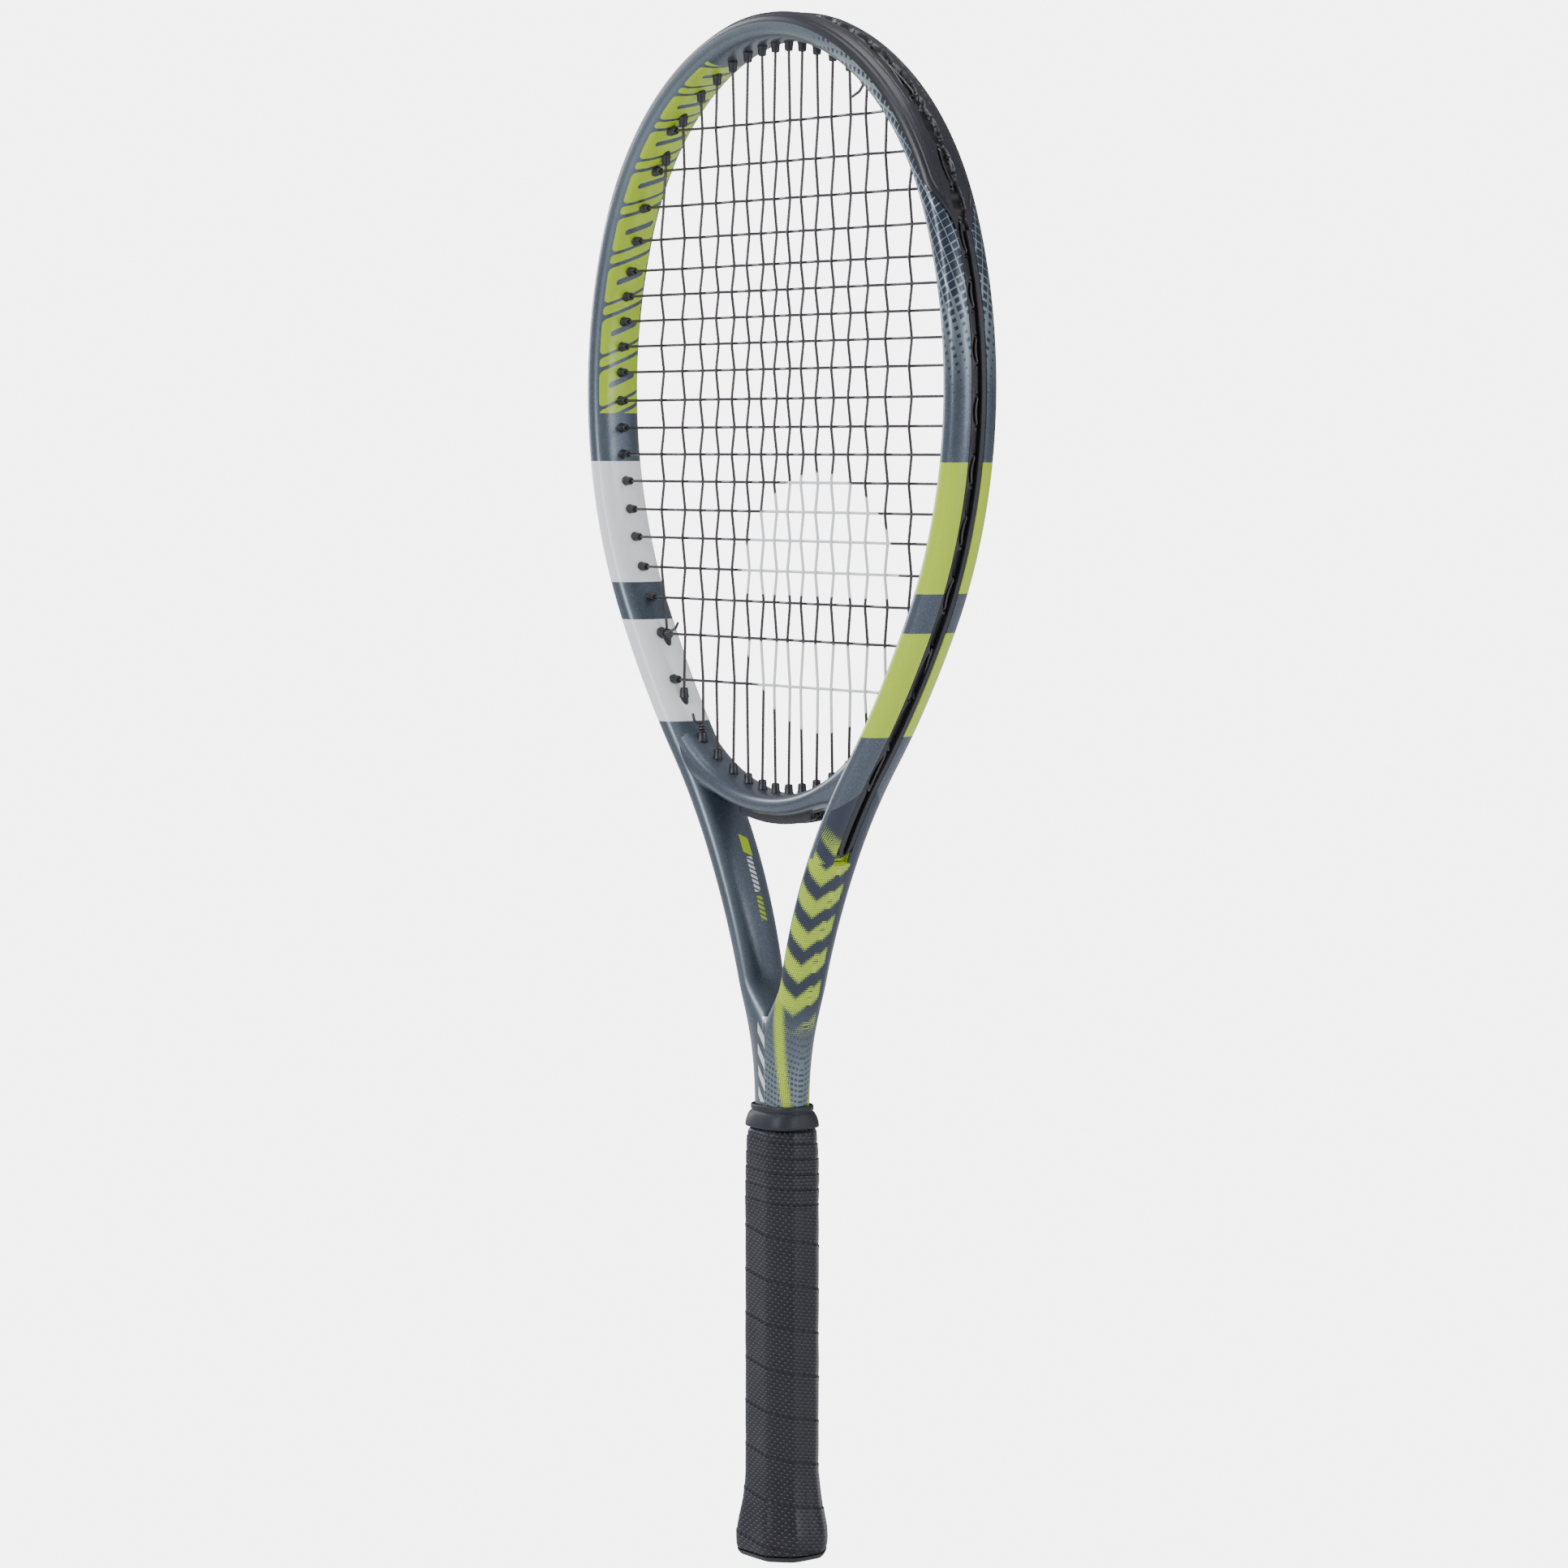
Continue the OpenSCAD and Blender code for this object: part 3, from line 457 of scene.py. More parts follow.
def arm_print(colour, along, away, inward, y, printed):
    """Dark slanted panel down the right arm, with halftone chevrons, dashes and a tapering stripe."""
    low = ((along - 520.0) / 55.0).clamp()
    lane = inward.below(15.4 + 4.6 * low, 0.3)
    panel = (along + away * 1.25).above(463.5, 0.3) * printed * lane * along.above(404.0, 0.3)
    low_fade = along.above(552.0, 34.0)
    colour = paint_over(colour, NAVY, panel)
    colour = paint_over(colour, SILVER, low_fade * panel * 0.45)

    round_arm = inward * Field.math("SIGN", y) * -1.0  # runs on round the outer middle to the back
    rung = ((along - 452.0 + abs(round_arm - 6.0) * 0.80) / CHEVRON_PITCH).fract()
    chevrons = ((1.0 - abs(rung - 0.5) / 0.33) * 1.9 + 0.1).clamp() * round_arm.between(-4.2, 15.6, 1.2)
    zone = along.between(456.0, 545.0, 16.0) * printed * inward.below(16.6, 0.5)
    ink = halftone(along * 0.98, away + along * 0.17, chevrons * zone)
    colour = paint_over(colour, LIME, ink)

    dash_u, dash_v = ((along - away * 0.35) / 2.5).fract(), ((away + along * 0.10) / 1.9).fract()
    dashes = dash_u.below(0.45, 0.12) * dash_v.between(0.12, 0.80, 0.1)
    colour = paint_over(colour, NAVY, dashes * low_fade * panel * 0.85)
    beyond = along - 532.0
    stripe = ((1.0 - abs(inward - 15.0 + beyond * 0.19) / (4.6 - beyond * 0.03)) * 1.5).clamp()
    stripe = stripe * along.between(530.0, 592.0, 10.0) * printed
    return paint_over(colour, LIME, halftone(along, away + along * 0.17, stripe)), ink


def small_marks(colour, along, around):
    """A leaning slab and two rows of ticks on the inner wall of the arms."""
    lean = along - around * 0.5
    slab = rounded_box(lean - 469.0, around - 3.2, 4.2, 2.3, 0.5).below(0.0, 0.2)
    colour = paint_over(colour, LIME, slab)
    tick = (lean / 2.3).fract().below(0.62, 0.06) * around.between(1.6, 4.8, 0.2)
    colour = paint_over(colour, WHITE, tick * along.between(476.0, 492.0, 0.2) * 0.85)
    return paint_over(colour, LIME_DEEP, tick * along.between(494.0, 505.0, 0.2))


def paint_material():
    """Satin metallic frame paint with its bands, blocks, checker and halftone panel."""
    mat = material("frame_paint_satin", coat=0.55, coat_roughness=0.22, specular=0.5)
    along, away, inward = (attribute(name) for name in PAINT_FIELDS)
    x, y, z = place_mm()
    around = away * Field.math("SIGN", y)
    right = x.above(0.0, 0.4)
    left = 1.0 - right
    wrap = Field.math("SIGN", y * x) * -1.0  # 1 on the face of each side that its print wraps on to
    printed = (away.above(21.0, 0.4) * right).most((wrap * away.above(10.0, 0.4)).clamp())
    colour, cloud, flake = bare_paint(along, away)

    bands = z.between(*BANDS[0], 0.25).most(z.between(*BANDS[1], 0.25)) * along.below(420.0, 1.0)
    colour = paint_over(colour, WHITE, bands * left)
    colour = paint_over(colour, paint_over(LIME, LIME_DEEP, cloud * 0.4), bands * right)
    wall = along.between(*BLOCK_RUN, 0.3)
    blocks = leaning_blocks(along - BLOCK_RUN[0], around, 25.2, -11.0, 12.8, 0.42) * wall
    colour = paint_over(colour, paint_over(LIME, LIME_DEEP, (cloud * 1.3).clamp()), blocks * left)
    colour = paint_over(colour, WHITE, blocks * right * 0.85)
    colour = checker(colour, along, away, printed.most(away.above(12.0, 0.4) * right))
    colour, ink = arm_print(colour, along, away, inward, y, printed)
    slashes = ((z + x * 1.5) / 9.6).fract().below(0.46, 0.04) * x.between(-3.8, 1.0, 0.2)
    slashes = slashes * z.between(205.0, 243.0, 0.3) * y.below(-4.0, 0.5)
    colour = small_marks(paint_over(colour, WHITE, slashes), along, around)

    metallic = 0.62 - 0.62 * (bands + blocks + ink).clamp()
    rough = 0.38 + 0.10 * noise(240, 2, 0.6) - 0.04 * flake
    skin = noise(900, 2, 0.5) + 0.35 * noise(120, 2, 0.5) + 2.2 * (bands + blocks)
    return dressed(mat, colour, rough, skin, 0.016, metallic)


def nylon_material(name, base, gloss):
    """Moulded nylon: fine grain, faint flow lines along the part, rubbed edges, and painted shade deep in
    grooves and underneath.
    """
    mat = material(name, specular=0.5, coat=0.12, coat_roughness=0.35)
    grain = noise(1500, 3, 0.6)
    flow = noise(160, 3, 0.6, (1.0, 3.0, 0.35))
    worn = noise(60, 4, 0.65).above(0.60, 0.25)
    colour = paint_over(base, tuple(c * 1.4 + 0.003 for c in base), (flow * 0.5).clamp())
    colour = paint_over(colour, tuple(c * 1.8 + 0.006 for c in base), worn * 0.18)
    # painted shade: points deep in grooves, and the whole underside, are darkened
    colour = paint_over(colour, tuple(c * 0.3 for c in base), attribute("deep"))
    return dressed(mat, colour, gloss + 0.14 * grain + 0.05 * flow, grain * 0.7 + flow * 0.2, 0.03)


def string_material():
    """Glossy black polyester with a fine twist line and a disc stencilled in white on the bed."""
    mat = material("string_polyester", specular=0.55, coat=0.35, coat_roughness=0.12)
    turn = attribute("twist")
    ribs = Field.math("SINE", turn * 6.2832) * 0.5 + 0.5
    tone = noise(90, 3, 0.6)
    colour = paint_over((0.016, 0.013, 0.016), (0.055, 0.043, 0.050), (tone * 1.1 - 0.1).clamp())
    x, _y, z = place_mm()
    dx, dz = x - STENCIL_AT[0], z - STENCIL_AT[1]
    disc = Field.math("SQRT", dx * dx + dz * dz).below(STENCIL_R, 0.8)
    stencil = disc * (1.0 - z.between(*STENCIL_GAP, 0.8)) * noise(420, 2, 0.6).above(0.20, 0.06)
    colour = paint_over(colour, (0.86, 0.86, 0.88), stencil)
    return dressed(mat, colour, 0.24 + 0.16 * noise(700, 2, 0.5) + 0.25 * stencil,
         ribs * 0.5 + noise(1400, 2, 0.5) * 0.5, 0.018)


def grip_material():
    """Perforated polyurethane tape: staggered pinholes with a painted highlight beside each, fine leather
    grain and darkened seams.
    """
    mat = material("grip_tape_perforated", specular=0.38, coat=0.06, coat_roughness=0.4)
    run, cross = attribute("tape_run"), attribute("tape_cross")
    row = (cross / 1.55).floor()
    shift = Field.math("FLOORED_MODULO", row, 2.0) * 0.5
    u = ((run / 2.7 + shift).fract() - 0.5) * 2.7
    v = ((cross / 1.55).fract() - 0.5) * 1.55
    far = Field.math("SQRT", u * u + v * v)
    hole = far.below(0.40, 0.20)
    # painted highlight: a light crescent just off each pinhole
    glint_v = v + 0.46
    ring = Field.math("SQRT", u * u + glint_v * glint_v).below(0.34, 0.20) * (1.0 - hole)
    seam = attribute("seam")
    grain = noise(1300, 4, 0.65)
    patch = noise(38, 3, 0.55)
    colour = paint_over((0.0075, 0.008, 0.016), (0.019, 0.016, 0.020), (patch * 1.5 - 0.35).clamp())
    colour = paint_over(colour, (0.004, 0.004, 0.006), hole)
    colour = paint_over(colour, (0.16, 0.16, 0.20), ring * 0.75)
    colour = paint_over(colour, (0.006, 0.006, 0.009), seam * 0.5)
    rough = 0.33 + 0.14 * grain + 0.25 * hole + 0.10 * seam
    return dressed(mat, colour, rough, 1.0 - hole + 0.16 * grain + 0.2 * ring, 0.22)


def rubber_material():
    mat = material("collar_rubber_satin", specular=0.4)
    grain = noise(1100, 3, 0.6)
    dust = noise(70, 4, 0.6).above(0.55, 0.3)
    colour = paint_over((0.014, 0.015, 0.024), (0.034, 0.035, 0.048), dust * 0.5)
    return dressed(mat, colour, 0.42 + 0.16 * grain, grain, 0.03)


def foam_material():
    mat = material("pallet_foam", specular=0.2)
    cells = speckle(2600)
    tone = noise(50, 3, 0.6)
    colour = paint_over((0.62, 0.56, 0.40), (0.46, 0.40, 0.27), (tone * 0.7 + cells * 0.4).clamp())
    return dressed(mat, colour, 0.78 + 0.15 * cells, cells, 0.25)


def laminate_material():
    """Bare carbon layup of the shaft inside the handle."""
    mat = material("shaft_laminate", coat=0.3, coat_roughness=0.25)
    _x, y, z = place_mm()
    weave_a = Field.math("SINE", (z + y) * 2.4)
    weave_b = Field.math("SINE", (z - y) * 2.4)
    cloth = (weave_a * weave_b) * 0.5 + 0.5
    colour = paint_over((0.016, 0.017, 0.018), (0.050, 0.052, 0.055), cloth.clamp())
    return dressed(mat, colour, 0.34 + 0.16 * noise(300, 2, 0.5), cloth, 0.03)


def steel_material():
    mat = material("staple_steel", metallic=1.0)
    scratch = noise(500, 4, 0.7, (1, 1, 9))
    colour = paint_over((0.50, 0.50, 0.51), (0.33, 0.32, 0.31), noise(200, 4, 0.7).above(0.5, 0.4))
    return dressed(mat, colour, 0.26 + 0.3 * scratch, scratch, 0.02)


def film_material():
    mat = material("finishing_tape_film", coat=0.3, coat_roughness=0.2)
    weave = noise(420, 2, 0.5, (1, 1, 6))
    colour = paint_over((0.030, 0.030, 0.034), (0.055, 0.055, 0.060), weave)
    return dressed(mat, colour, 0.34 + 0.2 * weave, weave, 0.03)


def wear(obj, mat):
    """Gives the whole object one material."""
    obj.data.materials.clear()
    obj.data.materials.append(mat)


def fit(obj, mat, slot, body, *nodes):
    """Dresses a piece, puts it on its body and hides the CAD nodes that it stands for."""
    wear(obj, mat)
    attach(obj, body)
    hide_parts(*nodes)


# ---- frame tube ----
SECTION_SIDE = 26  # points round each half of the section
BUMPER_END = length_at(2, 72.4)
HOOP_END = REACHED[3]
BUMPER_TAPER = 25.0  # length over which the bumper's tips narrow
BRIDGE_FIELDS = (430.0, 0.0, 12.0)  # the bridge is plain paint all round


def bumper_half(length):
    """Half width of the bumper at a length from the crown."""
    t = (BUMPER_END - length) / BUMPER_TAPER
    return mix(CHANNEL_HALF + 0.3, BUMPER_HALF, smooth(t) ** 0.8)


def tube_section(half, beam, power, open_amount, recess_half=0.0):
    """Section points (depth outward, y) and their distance round from the inner middle."""
    deep, wide = CHANNEL_DEPTH * open_amount, CHANNEL_HALF
    t0 = math.asin((wide / beam) ** (power / 2))
    angles = np.linspace(math.pi, t0, SECTION_SIDE)
    depth = -half + half * squared(np.cos(angles), power)
    y = beam * np.sin(angles) ** (2 / power)
    depth = np.minimum(depth, -OUTER_SHY)
    if recess_half > 0:
        inside = smooth((recess_half - y) / 0.5 + 0.5)
        depth = depth - BUMPER_SKIN * np.maximum(np.cos(angles), 0) * inside
    lip = [(depth[-1] - 0.35 * open_amount, wide - 0.25 * open_amount),
           (mix(face(2.6, half, beam, power), -deep, open_amount), mix(2.6, wide - 0.3, open_amount)),
           (mix(face(1.2, half, beam, power), -deep, open_amount), mix(1.2, wide * 0.5, open_amount))]
    back = list(zip(depth, y)) + lip
    gone = np.concatenate([[0], np.cumsum([math.dist(a, b) for a, b in zip(back, back[1:])])])
    front = [(d, -w) for d, w in back[:0:-1]]
    away = np.concatenate([gone, gone[:0:-1]])
    return back + front, list(away), list(gone[-1] - away)


def place_section(length, side, section, clip=-1.0):
    """Section set across the outline, kept on its side of x = clip."""
    arc, heading = station(length)
    placed = [(*rim(arc, heading, -depth), y) for depth, y in section]
    return [[side * max(clip, x), y, z] for x, z, y in placed]


def tube_rings(lengths, side, shape, clip=-1.0):
    """Rings of a tube along the outline, with the fields that its paint reads."""
    rings, along, away, inward = [], [], [], []
    for length in lengths:
        section, gone, left = shape(length)
        rings.append(place_section(length, side, section, clip))
        along += [length] * len(section)
        away += gone
        inward += left
    return rings, along, away, inward


def hoop_shape(length):
    recess = bumper_half(length) + 0.1 if length < BUMPER_END else 0.0
    return tube_section(TUBE_HALF, BEAM_HALF, TUBE_POWER, 1.0, recess)


def hoop():
    lengths = np.concatenate([np.linspace(0, BUMPER_END, 100), np.linspace(BUMPER_END + 0.3, HOOP_END, 110)])
    right, *fields = tube_rings(lengths, 1, hoop_shape)
    left, *left_fields = tube_rings(lengths[:0:-1], -1, hoop_shape)
    points, faces = swept(left + right)
    both = [a + b for a, b in zip(left_fields, fields)]
    return build("hoop_painted", points, faces, dict(zip(PAINT_FIELDS, both)), crisp=50)


def arm_shape(length):
    arc, heading = station(length)
    x, z = rim(arc, heading, 0)
    half = mix(arm_depth(z), x, smooth((THROAT_LOW + 18 - z) / 44))
    end = smooth((z - STRIP_LOW + 1.2) / 2.4)
    return tube_section(half, arm_beam(z), arm_power(z), end)


def arm(name, side):
    end = length_at_z(STRIP_LOW)
    lengths = np.concatenate([np.linspace(HOOP_END, end - 3, 55), np.linspace(end - 2.7, end + 2.7, 14),
                              np.linspace(end + 3, REACHED[5], 70)])
    rings, *fields = tube_rings(lengths, side, arm_shape, clip=0.02)
    points, faces = swept(rings, flip=side < 0)
    return build(name, points, faces, dict(zip(PAINT_FIELDS, fields)), crisp=50)


def bridge_meets(radius, y):
    """Angle along the bridge at which a point of its section lies inside an arm's inner wall."""
    low, high = 15.0, 60.0
    for _ in range(24):
        t = (low + high) / 2
        x, z = radius * math.sin(math.radians(t)), BRIDGE_CENTRE - radius * math.cos(math.radians(t))
        half = arm_depth(z)
        if x > rim_x(z, 2 * half + face(y, half, arm_beam(z), arm_power(z)) - BRIDGE_SUNK):
            high = t
        else:
            low = t
    return (low + high) / 2


def bridge():
    """Bridge between the arms, thickening where it runs into them."""
    angles = around_circle(72)
    half = (BRIDGE_LOWER - BRIDGE_UPPER) / 2
    r = (BRIDGE_UPPER + BRIDGE_LOWER) / 2 + half * squared(np.cos(angles), 2.5)
    y = BRIDGE_HALF * squared(np.sin(angles), 2.5)
    ends = [bridge_meets(q, w) for q, w in zip(r, y)]
    rings = []
    for share in np.linspace(-1, 1, 121):
        grow = smooth((abs(share) - 0.45) / 0.55) ** 2
        ring = []
        for q, w, end in zip(r, y, ends):
            a = math.radians(end * share)
            lower = (q - BRIDGE_UPPER) / (BRIDGE_LOWER - BRIDGE_UPPER)
            q = q + 4.2 * grow * lower - 0.7 * grow * (1 - lower)
            ring.append([q * math.sin(a), w * (1 + 0.06 * grow), BRIDGE_CENTRE - q * math.cos(a)])
        rings.append(ring)
    points, faces = swept(rings, flip=True)
    fields = {key: np.full(len(points), value) for key, value in zip(PAINT_FIELDS, BRIDGE_FIELDS)}
    return build("bridge_painted", points, faces, fields, crisp=50)


# ---- grommets ----
def main_y(i):
    return BARREL_SHIFT if i == 7 else 0.0


def foot_inner(x):
    """Height of the arm's inner wall where a main string at x meets it low down."""
    return foot_z(x, 2 * arm_depth(foot_z(x, 12)))


def cross_tip(z):
    """Where the barrels of the cross string at z end."""
    return rim_x(z, 2 * arm_depth(z)) - BARREL_OUT


def main_top(i):
    """A barrel: its root, its tip and its scale."""
    x, y = MAIN_X[i], main_y(i)
    return [(x, y, crown_z(x, HOLE_DEPTH)), (x, y, crown_z(x, 2 * TUBE_HALF) - BARREL_OUT), 1.0]


def main_foot(i):
    x, y = MAIN_X[i], main_y(i)
    scale = SHARED_SCALE if i == 5 else 1.0
    return [(x, y, foot_z(x, HOLE_DEPTH)), (x, y, foot_inner(x) + BARREL_OUT), scale]


def main_bridge(i):
    x = MAIN_X[i]
    return [(x, 0.0, bridge_z(x, BRIDGE_LOWER + 1.0)), (x, 0.0, bridge_z(x, BRIDGE_UPPER) + BARREL_OUT), 1.0]


def cross_y(j):
    return -BARREL_SHIFT if j in (0, 18) else -SHARED if j == 17 else 0.0


def cross_end(j):
    z = CROSS_Z[j]
    y = -BARREL_SHIFT if j in (0, 18) else 0.0
    return [(rim_x(z, HOLE_DEPTH), y, z), (cross_tip(z), y, z), SHARED_SCALE if j == 17 else 1.0]


def spare_end():
    h = crown_heading(SPARE_X, 0)
    a, b = rim(1, h, HOLE_DEPTH), rim(1, h, 2 * TUBE_HALF + BARREL_OUT)
    return [(a[0], 0.0, a[1]), (b[0], 0.0, b[1]), 1.0]


def flipped(holes):
    """The same holes on the other side."""
    return [[(-root[0], *root[1:]), (-tip[0], *tip[1:]), scale] for root, tip, scale in holes]


def barrel(hole):
    """Grommet barrel with a flared root, a slight taper, a round tip and an open bore."""
    a, b, scale = V(hole[0], float), V(hole[1], float), hole[2]
    length = float(np.linalg.norm(b - a))
    bore = 1.25 if scale > 1 else 0.85
    root = length - BARREL_OUT
    profile = [(0, bore), (0, 2.0), (root - 0.4, 2.0), (root, 2.32), (root + 0.35, 2.24), (root + 0.75, 2.02),
               (length - 1.1, 1.84), (length - 0.45, 1.78), (length - 0.12, 1.60), (length, 1.32),
               (length - 0.02, bore + 0.16), (length - 0.35, bore)]
    return lathe(a, b, [(t, r if r < 1.3 * bore else r * scale) for t, r in profile])


def barrels(*rows):
    return [barrel(hole) for holes in rows for hole in holes]


HOLES_CROWN = [main_top(i) for i in range(8)] + [cross_end(j) for j in range(4)]
HOLES_SIDE = [cross_end(j) for j in range(4, 19)] + [main_foot(i) for i in (5, 6, 7)]
HOLES_BRIDGE = [main_bridge(i) for i in range(5)]


def hole_lengths(holes):
    """Outline lengths at which holes open into the channel."""
    steps = [(length, rim(*station(length), HOLE_DEPTH)) for length in np.linspace(0, REACHED[5], 2400)]
    nearest = [min(steps, key=lambda step: math.dist(step[1], (abs(x), z)))[0] for (x, _, z), _, _ in holes]
    return sorted(float(length) for length in nearest)


def scallop(length, stops, pinch, width):
    """Half width of a string channel: narrow at its holes and wide between them."""
    k = int(np.clip(np.searchsorted(stops, length), 1, len(stops) - 1))
    low, high = stops[k - 1], stops[k]
    t = min(max((length - low) / max(high - low, 1e-6), 0), 1)
    return mix(pinch, width, math.sin(math.pi * t) ** 0.6)


def moulded(lengths, half_of, height, under, columns):
    """Strip along the outline whose outer surface follows height(length, y), closed underneath.

    Lengths below 0 run down the other side. It also says how deep in a groove each point lies, which the
    nylon's painted shade darkens; the underside counts as fully deep."""
    rings, deep = [], []
    for length in lengths:
        w = half_of(abs(length))
        y = np.linspace(-w, w, columns)
        top = height(length, y)
        top[0] = top[-1] = min(top[0], top[-1])
        ring = list(zip(top, y)) + [(under(v), v) for v in np.linspace(w, -w, UNDER_COLUMNS)]
        rings.append(place_section(abs(length), 1 if length >= 0 else -1, ring))
        fall = face(y, TUBE_HALF, BEAM_HALF, TUBE_POWER) - OUTER_SHY - top
        # depth in a groove for the painted shade; the underside is fully deep
        deep += list(np.clip(fall / 1.3, 0, 1)) + [1.0] * UNDER_COLUMNS
    return (*swept(rings), deep)


def with_barrels(name, shell, deep, more, angle=50):
    """Named piece made of a moulded shell and its barrels."""
    points, faces = joined([shell] + more)
    fields = {"deep": deep + [0.0] * (len(points) - len(deep))} if deep else None
    return build(name, points, faces, fields, crisp=angle)


UNDER_COLUMNS = 13  # points across the underside of a strip
CROWN_STOPS, SIDE_STOPS = hole_lengths(HOLES_CROWN), hole_lengths(HOLES_SIDE)
ALL_STOPS = sorted(CROWN_STOPS + SIDE_STOPS)


def pits(length, y, stops, radius):
    """How deep the holes' mouths dip at a point."""
    out = np.zeros_like(y)
    for s in stops:
        if abs(s - length) < radius + 0.6:
            out = np.maximum(out, smooth((radius + 0.3 - np.hypot(length - s, y)) / 0.6))
    return out


def bumper_height(length, y):
    """Outer surface of the bumper: rails, lips, fine lines and the strings' channel."""
    ridge_shift = 0.9 if length >= 0 else 1.4
    length = abs(length)
    w = bumper_half(length)
    v = np.abs(y)
    h = face(y, TUBE_HALF, BEAM_HALF, TUBE_POWER)
    full = smooth((w - CHANNEL_HALF - 1.5) / 4)
    h = h - 0.7 * bump_at(v - (w - 2.25), 0.95) * full  # groove inside the edge's lip
    h = h - 0.22 * bump_at(v - (w - 3.3), 0.3) * full  # second line
    band = 0.5 + 0.5 * math.sin(length / 11.0)
    h = h - 0.34 * bump_at(v - mix(5.6, 6.6, band), 0.28) * full * (0.25 + 0.75 * smooth(band * 1.6))
    ridge = smooth(math.sin(length / 19.0 + ridge_shift) * 1.6)
    h = h + 0.16 * bump_at(v - 8.3, 1.3) * full * ridge
    arcs = v - (4.9 + 1.3 * abs(math.sin(length / 7.5)))
    h = h - 0.20 * bump_at(arcs, 0.22) * full * (1 if (length // 23) % 2 else 0)
    c = scallop(length, [0.0] + ALL_STOPS, 1.4, 3.2)
    wall = smooth((c + 0.35 - v) / 0.7)
    floor = -2.45 + 0.25 * math.cos(length * 0.9)
    h = mix(h, np.full_like(y, floor), wall)
    h = h + 0.22 * bump_at(v - (c + 0.55), 0.4)
    return np.minimum(h, -OUTER_SHY) - 0.7 * pits(length, y, CROWN_STOPS, 1.25)


def bumper_under(y):
    if abs(y) <= CHANNEL_HALF - 0.1:
        return -CHANNEL_DEPTH + 0.06
    return face(y, TUBE_HALF, BEAM_HALF, TUBE_POWER) - BUMPER_SKIN + 0.08


def bumper():
    lengths = np.concatenate([np.arange(-BUMPER_END, BUMPER_END, 0.8), [BUMPER_END]])
    *shell, deep = moulded(lengths, bumper_half, bumper_height, bumper_under, 85)
    more = barrels(HOLES_CROWN, flipped(HOLES_CROWN), [spare_end()])
    return with_barrels("bumper_moulded", shell, deep, more)


STRIP_START = BUMPER_END + 0.4
STRIP_END = length_at_z(STRIP_LOW + 3.0)


def strip_half(length):
    left = max(STRIP_END - length, 0)
    return max(0.6, (CHANNEL_HALF - 0.05) * min(1.0, math.sqrt(max(left, 0.02) / 6.0)))


def strip_height(length, y):
    """Outer surface of a side strip: a flat rail at the back and a scalloped one at the front."""
    c = scallop(length, ALL_STOPS, 0.95, 3.05)
    w = strip_half(length)
    front = smooth((y + c + 0.25) / 0.5)
    back = smooth((1.55 - y) / 0.5)
    rail = -0.28 - 0.5 * smooth((np.abs(y) - (w - 0.5)) / 0.5)
    h = mix(rail, np.full_like(y, -2.42), front * back)
    h = h + 0.16 * bump_at(y + c + 0.55, 0.4) + 0.12 * bump_at(y - 2.6, 0.5)
    h = np.minimum(h - 0.7 * pits(length, y, ALL_STOPS, 1.15), -OUTER_SHY)
    return mix(-1.2, h, smooth((STRIP_END - length) / 3.0))


def side_strip(name, side):
    lengths = np.concatenate([np.arange(STRIP_START, STRIP_END - 6, 0.7),
                              np.linspace(STRIP_END - 5.9, STRIP_END, 16)])
    points, faces, deep = moulded(lengths, strip_half, strip_height, lambda y: -CHANNEL_DEPTH + 0.06, 43)
    if side > 0:
        return with_barrels(name, (points, faces), deep, barrels(HOLES_SIDE))
    shell = (points * V([-1, 1, 1]), [f[::-1] for f in faces])
    return with_barrels(name, shell, deep, barrels(flipped(HOLES_SIDE)))


BAR_REACH, BAR_ENDS = 14.2, 28.5  # half angles of the raised bar and of the whole strip
BAR_SLOT = 3.0  # half width of the bar's string channel


def bridge_strip():
    """Grommet strip under the bridge: a raised bar in the middle and flush ends."""
    rings = []
    low, w, c = BRIDGE_LOWER - 1.15, CHANNEL_HALF - 0.05, BAR_SLOT
    for t in np.linspace(-BAR_ENDS, BAR_ENDS, 150):
        up = smooth((BAR_REACH - abs(t)) / 0.9 + 0.5)
        rail = BRIDGE_LOWER + mix(0.5, 3.4, up)
        floor = BRIDGE_LOWER + mix(0.15, 1.4, up)
        half = [(low, w), (rail - 0.5, w), (rail - 0.12, w - 0.14), (rail, w - 0.5), (rail, c + 0.15),
                (rail - 0.15, c), (floor + 0.2, c - 0.1), (floor, c - 0.4)]
        section = [(q, -v) for q, v in half] + [(floor, 0.0)] + half[::-1]
        a = math.radians(t)
        rings.append([[q * math.sin(a), v, BRIDGE_CENTRE - q * math.cos(a)] for q, v in section])
    more = barrels(HOLES_BRIDGE, flipped(HOLES_BRIDGE))
    return with_barrels("bridge_strip_moulded", swept(rings), None, more, 35)


# ---- strings ----
RUN_STEPS = [s / 5 for s in range(6)]  # shares of the way along a run in the channel
TWIST_PITCH = 3.2  # length over which a string's twist goes round once


def over(i, j):
    """1 where main i passes in front of cross j, and -1 where it passes behind."""
    return 1 if (i + j) % 2 == 0 else -1


def flip(points):
    return [(-x, y, z) for x, y, z in points]


def main_span(i, side):
    """One main string from the crown to the foot, over and under the crosses."""
    x, y = MAIN_X[i], main_y(i)
    m = i if side > 0 else i + 1
    top = crown_z(x, 2 * TUBE_HALF) - BARREL_OUT
    if i < 5:
        foot = bridge_z(x, BRIDGE_UPPER) + BARREL_OUT
        low = bridge_z(x, (BRIDGE_LANE if i < 3 else FLUSH_LANE) - LANE_RISE)
    else:
        foot = foot_inner(x) + BARREL_OUT
        low = foot_z(x, LANE + LANE_RISE)
    yf = SHARED if i == 5 else y
    weave = []
    for j, z in enumerate(CROSS_Z):
        if foot + 4 < z < top - 4:
            weave += [(x, WEAVE * over(m, j), z + WEAVE_FLAT), (x, WEAVE * over(m, j), z - WEAVE_FLAT)]
    return [(x, y, crown_z(x, LANE + LANE_RISE)), (x, y, top)] + weave + [(x, yf, foot), (x, yf, low)]


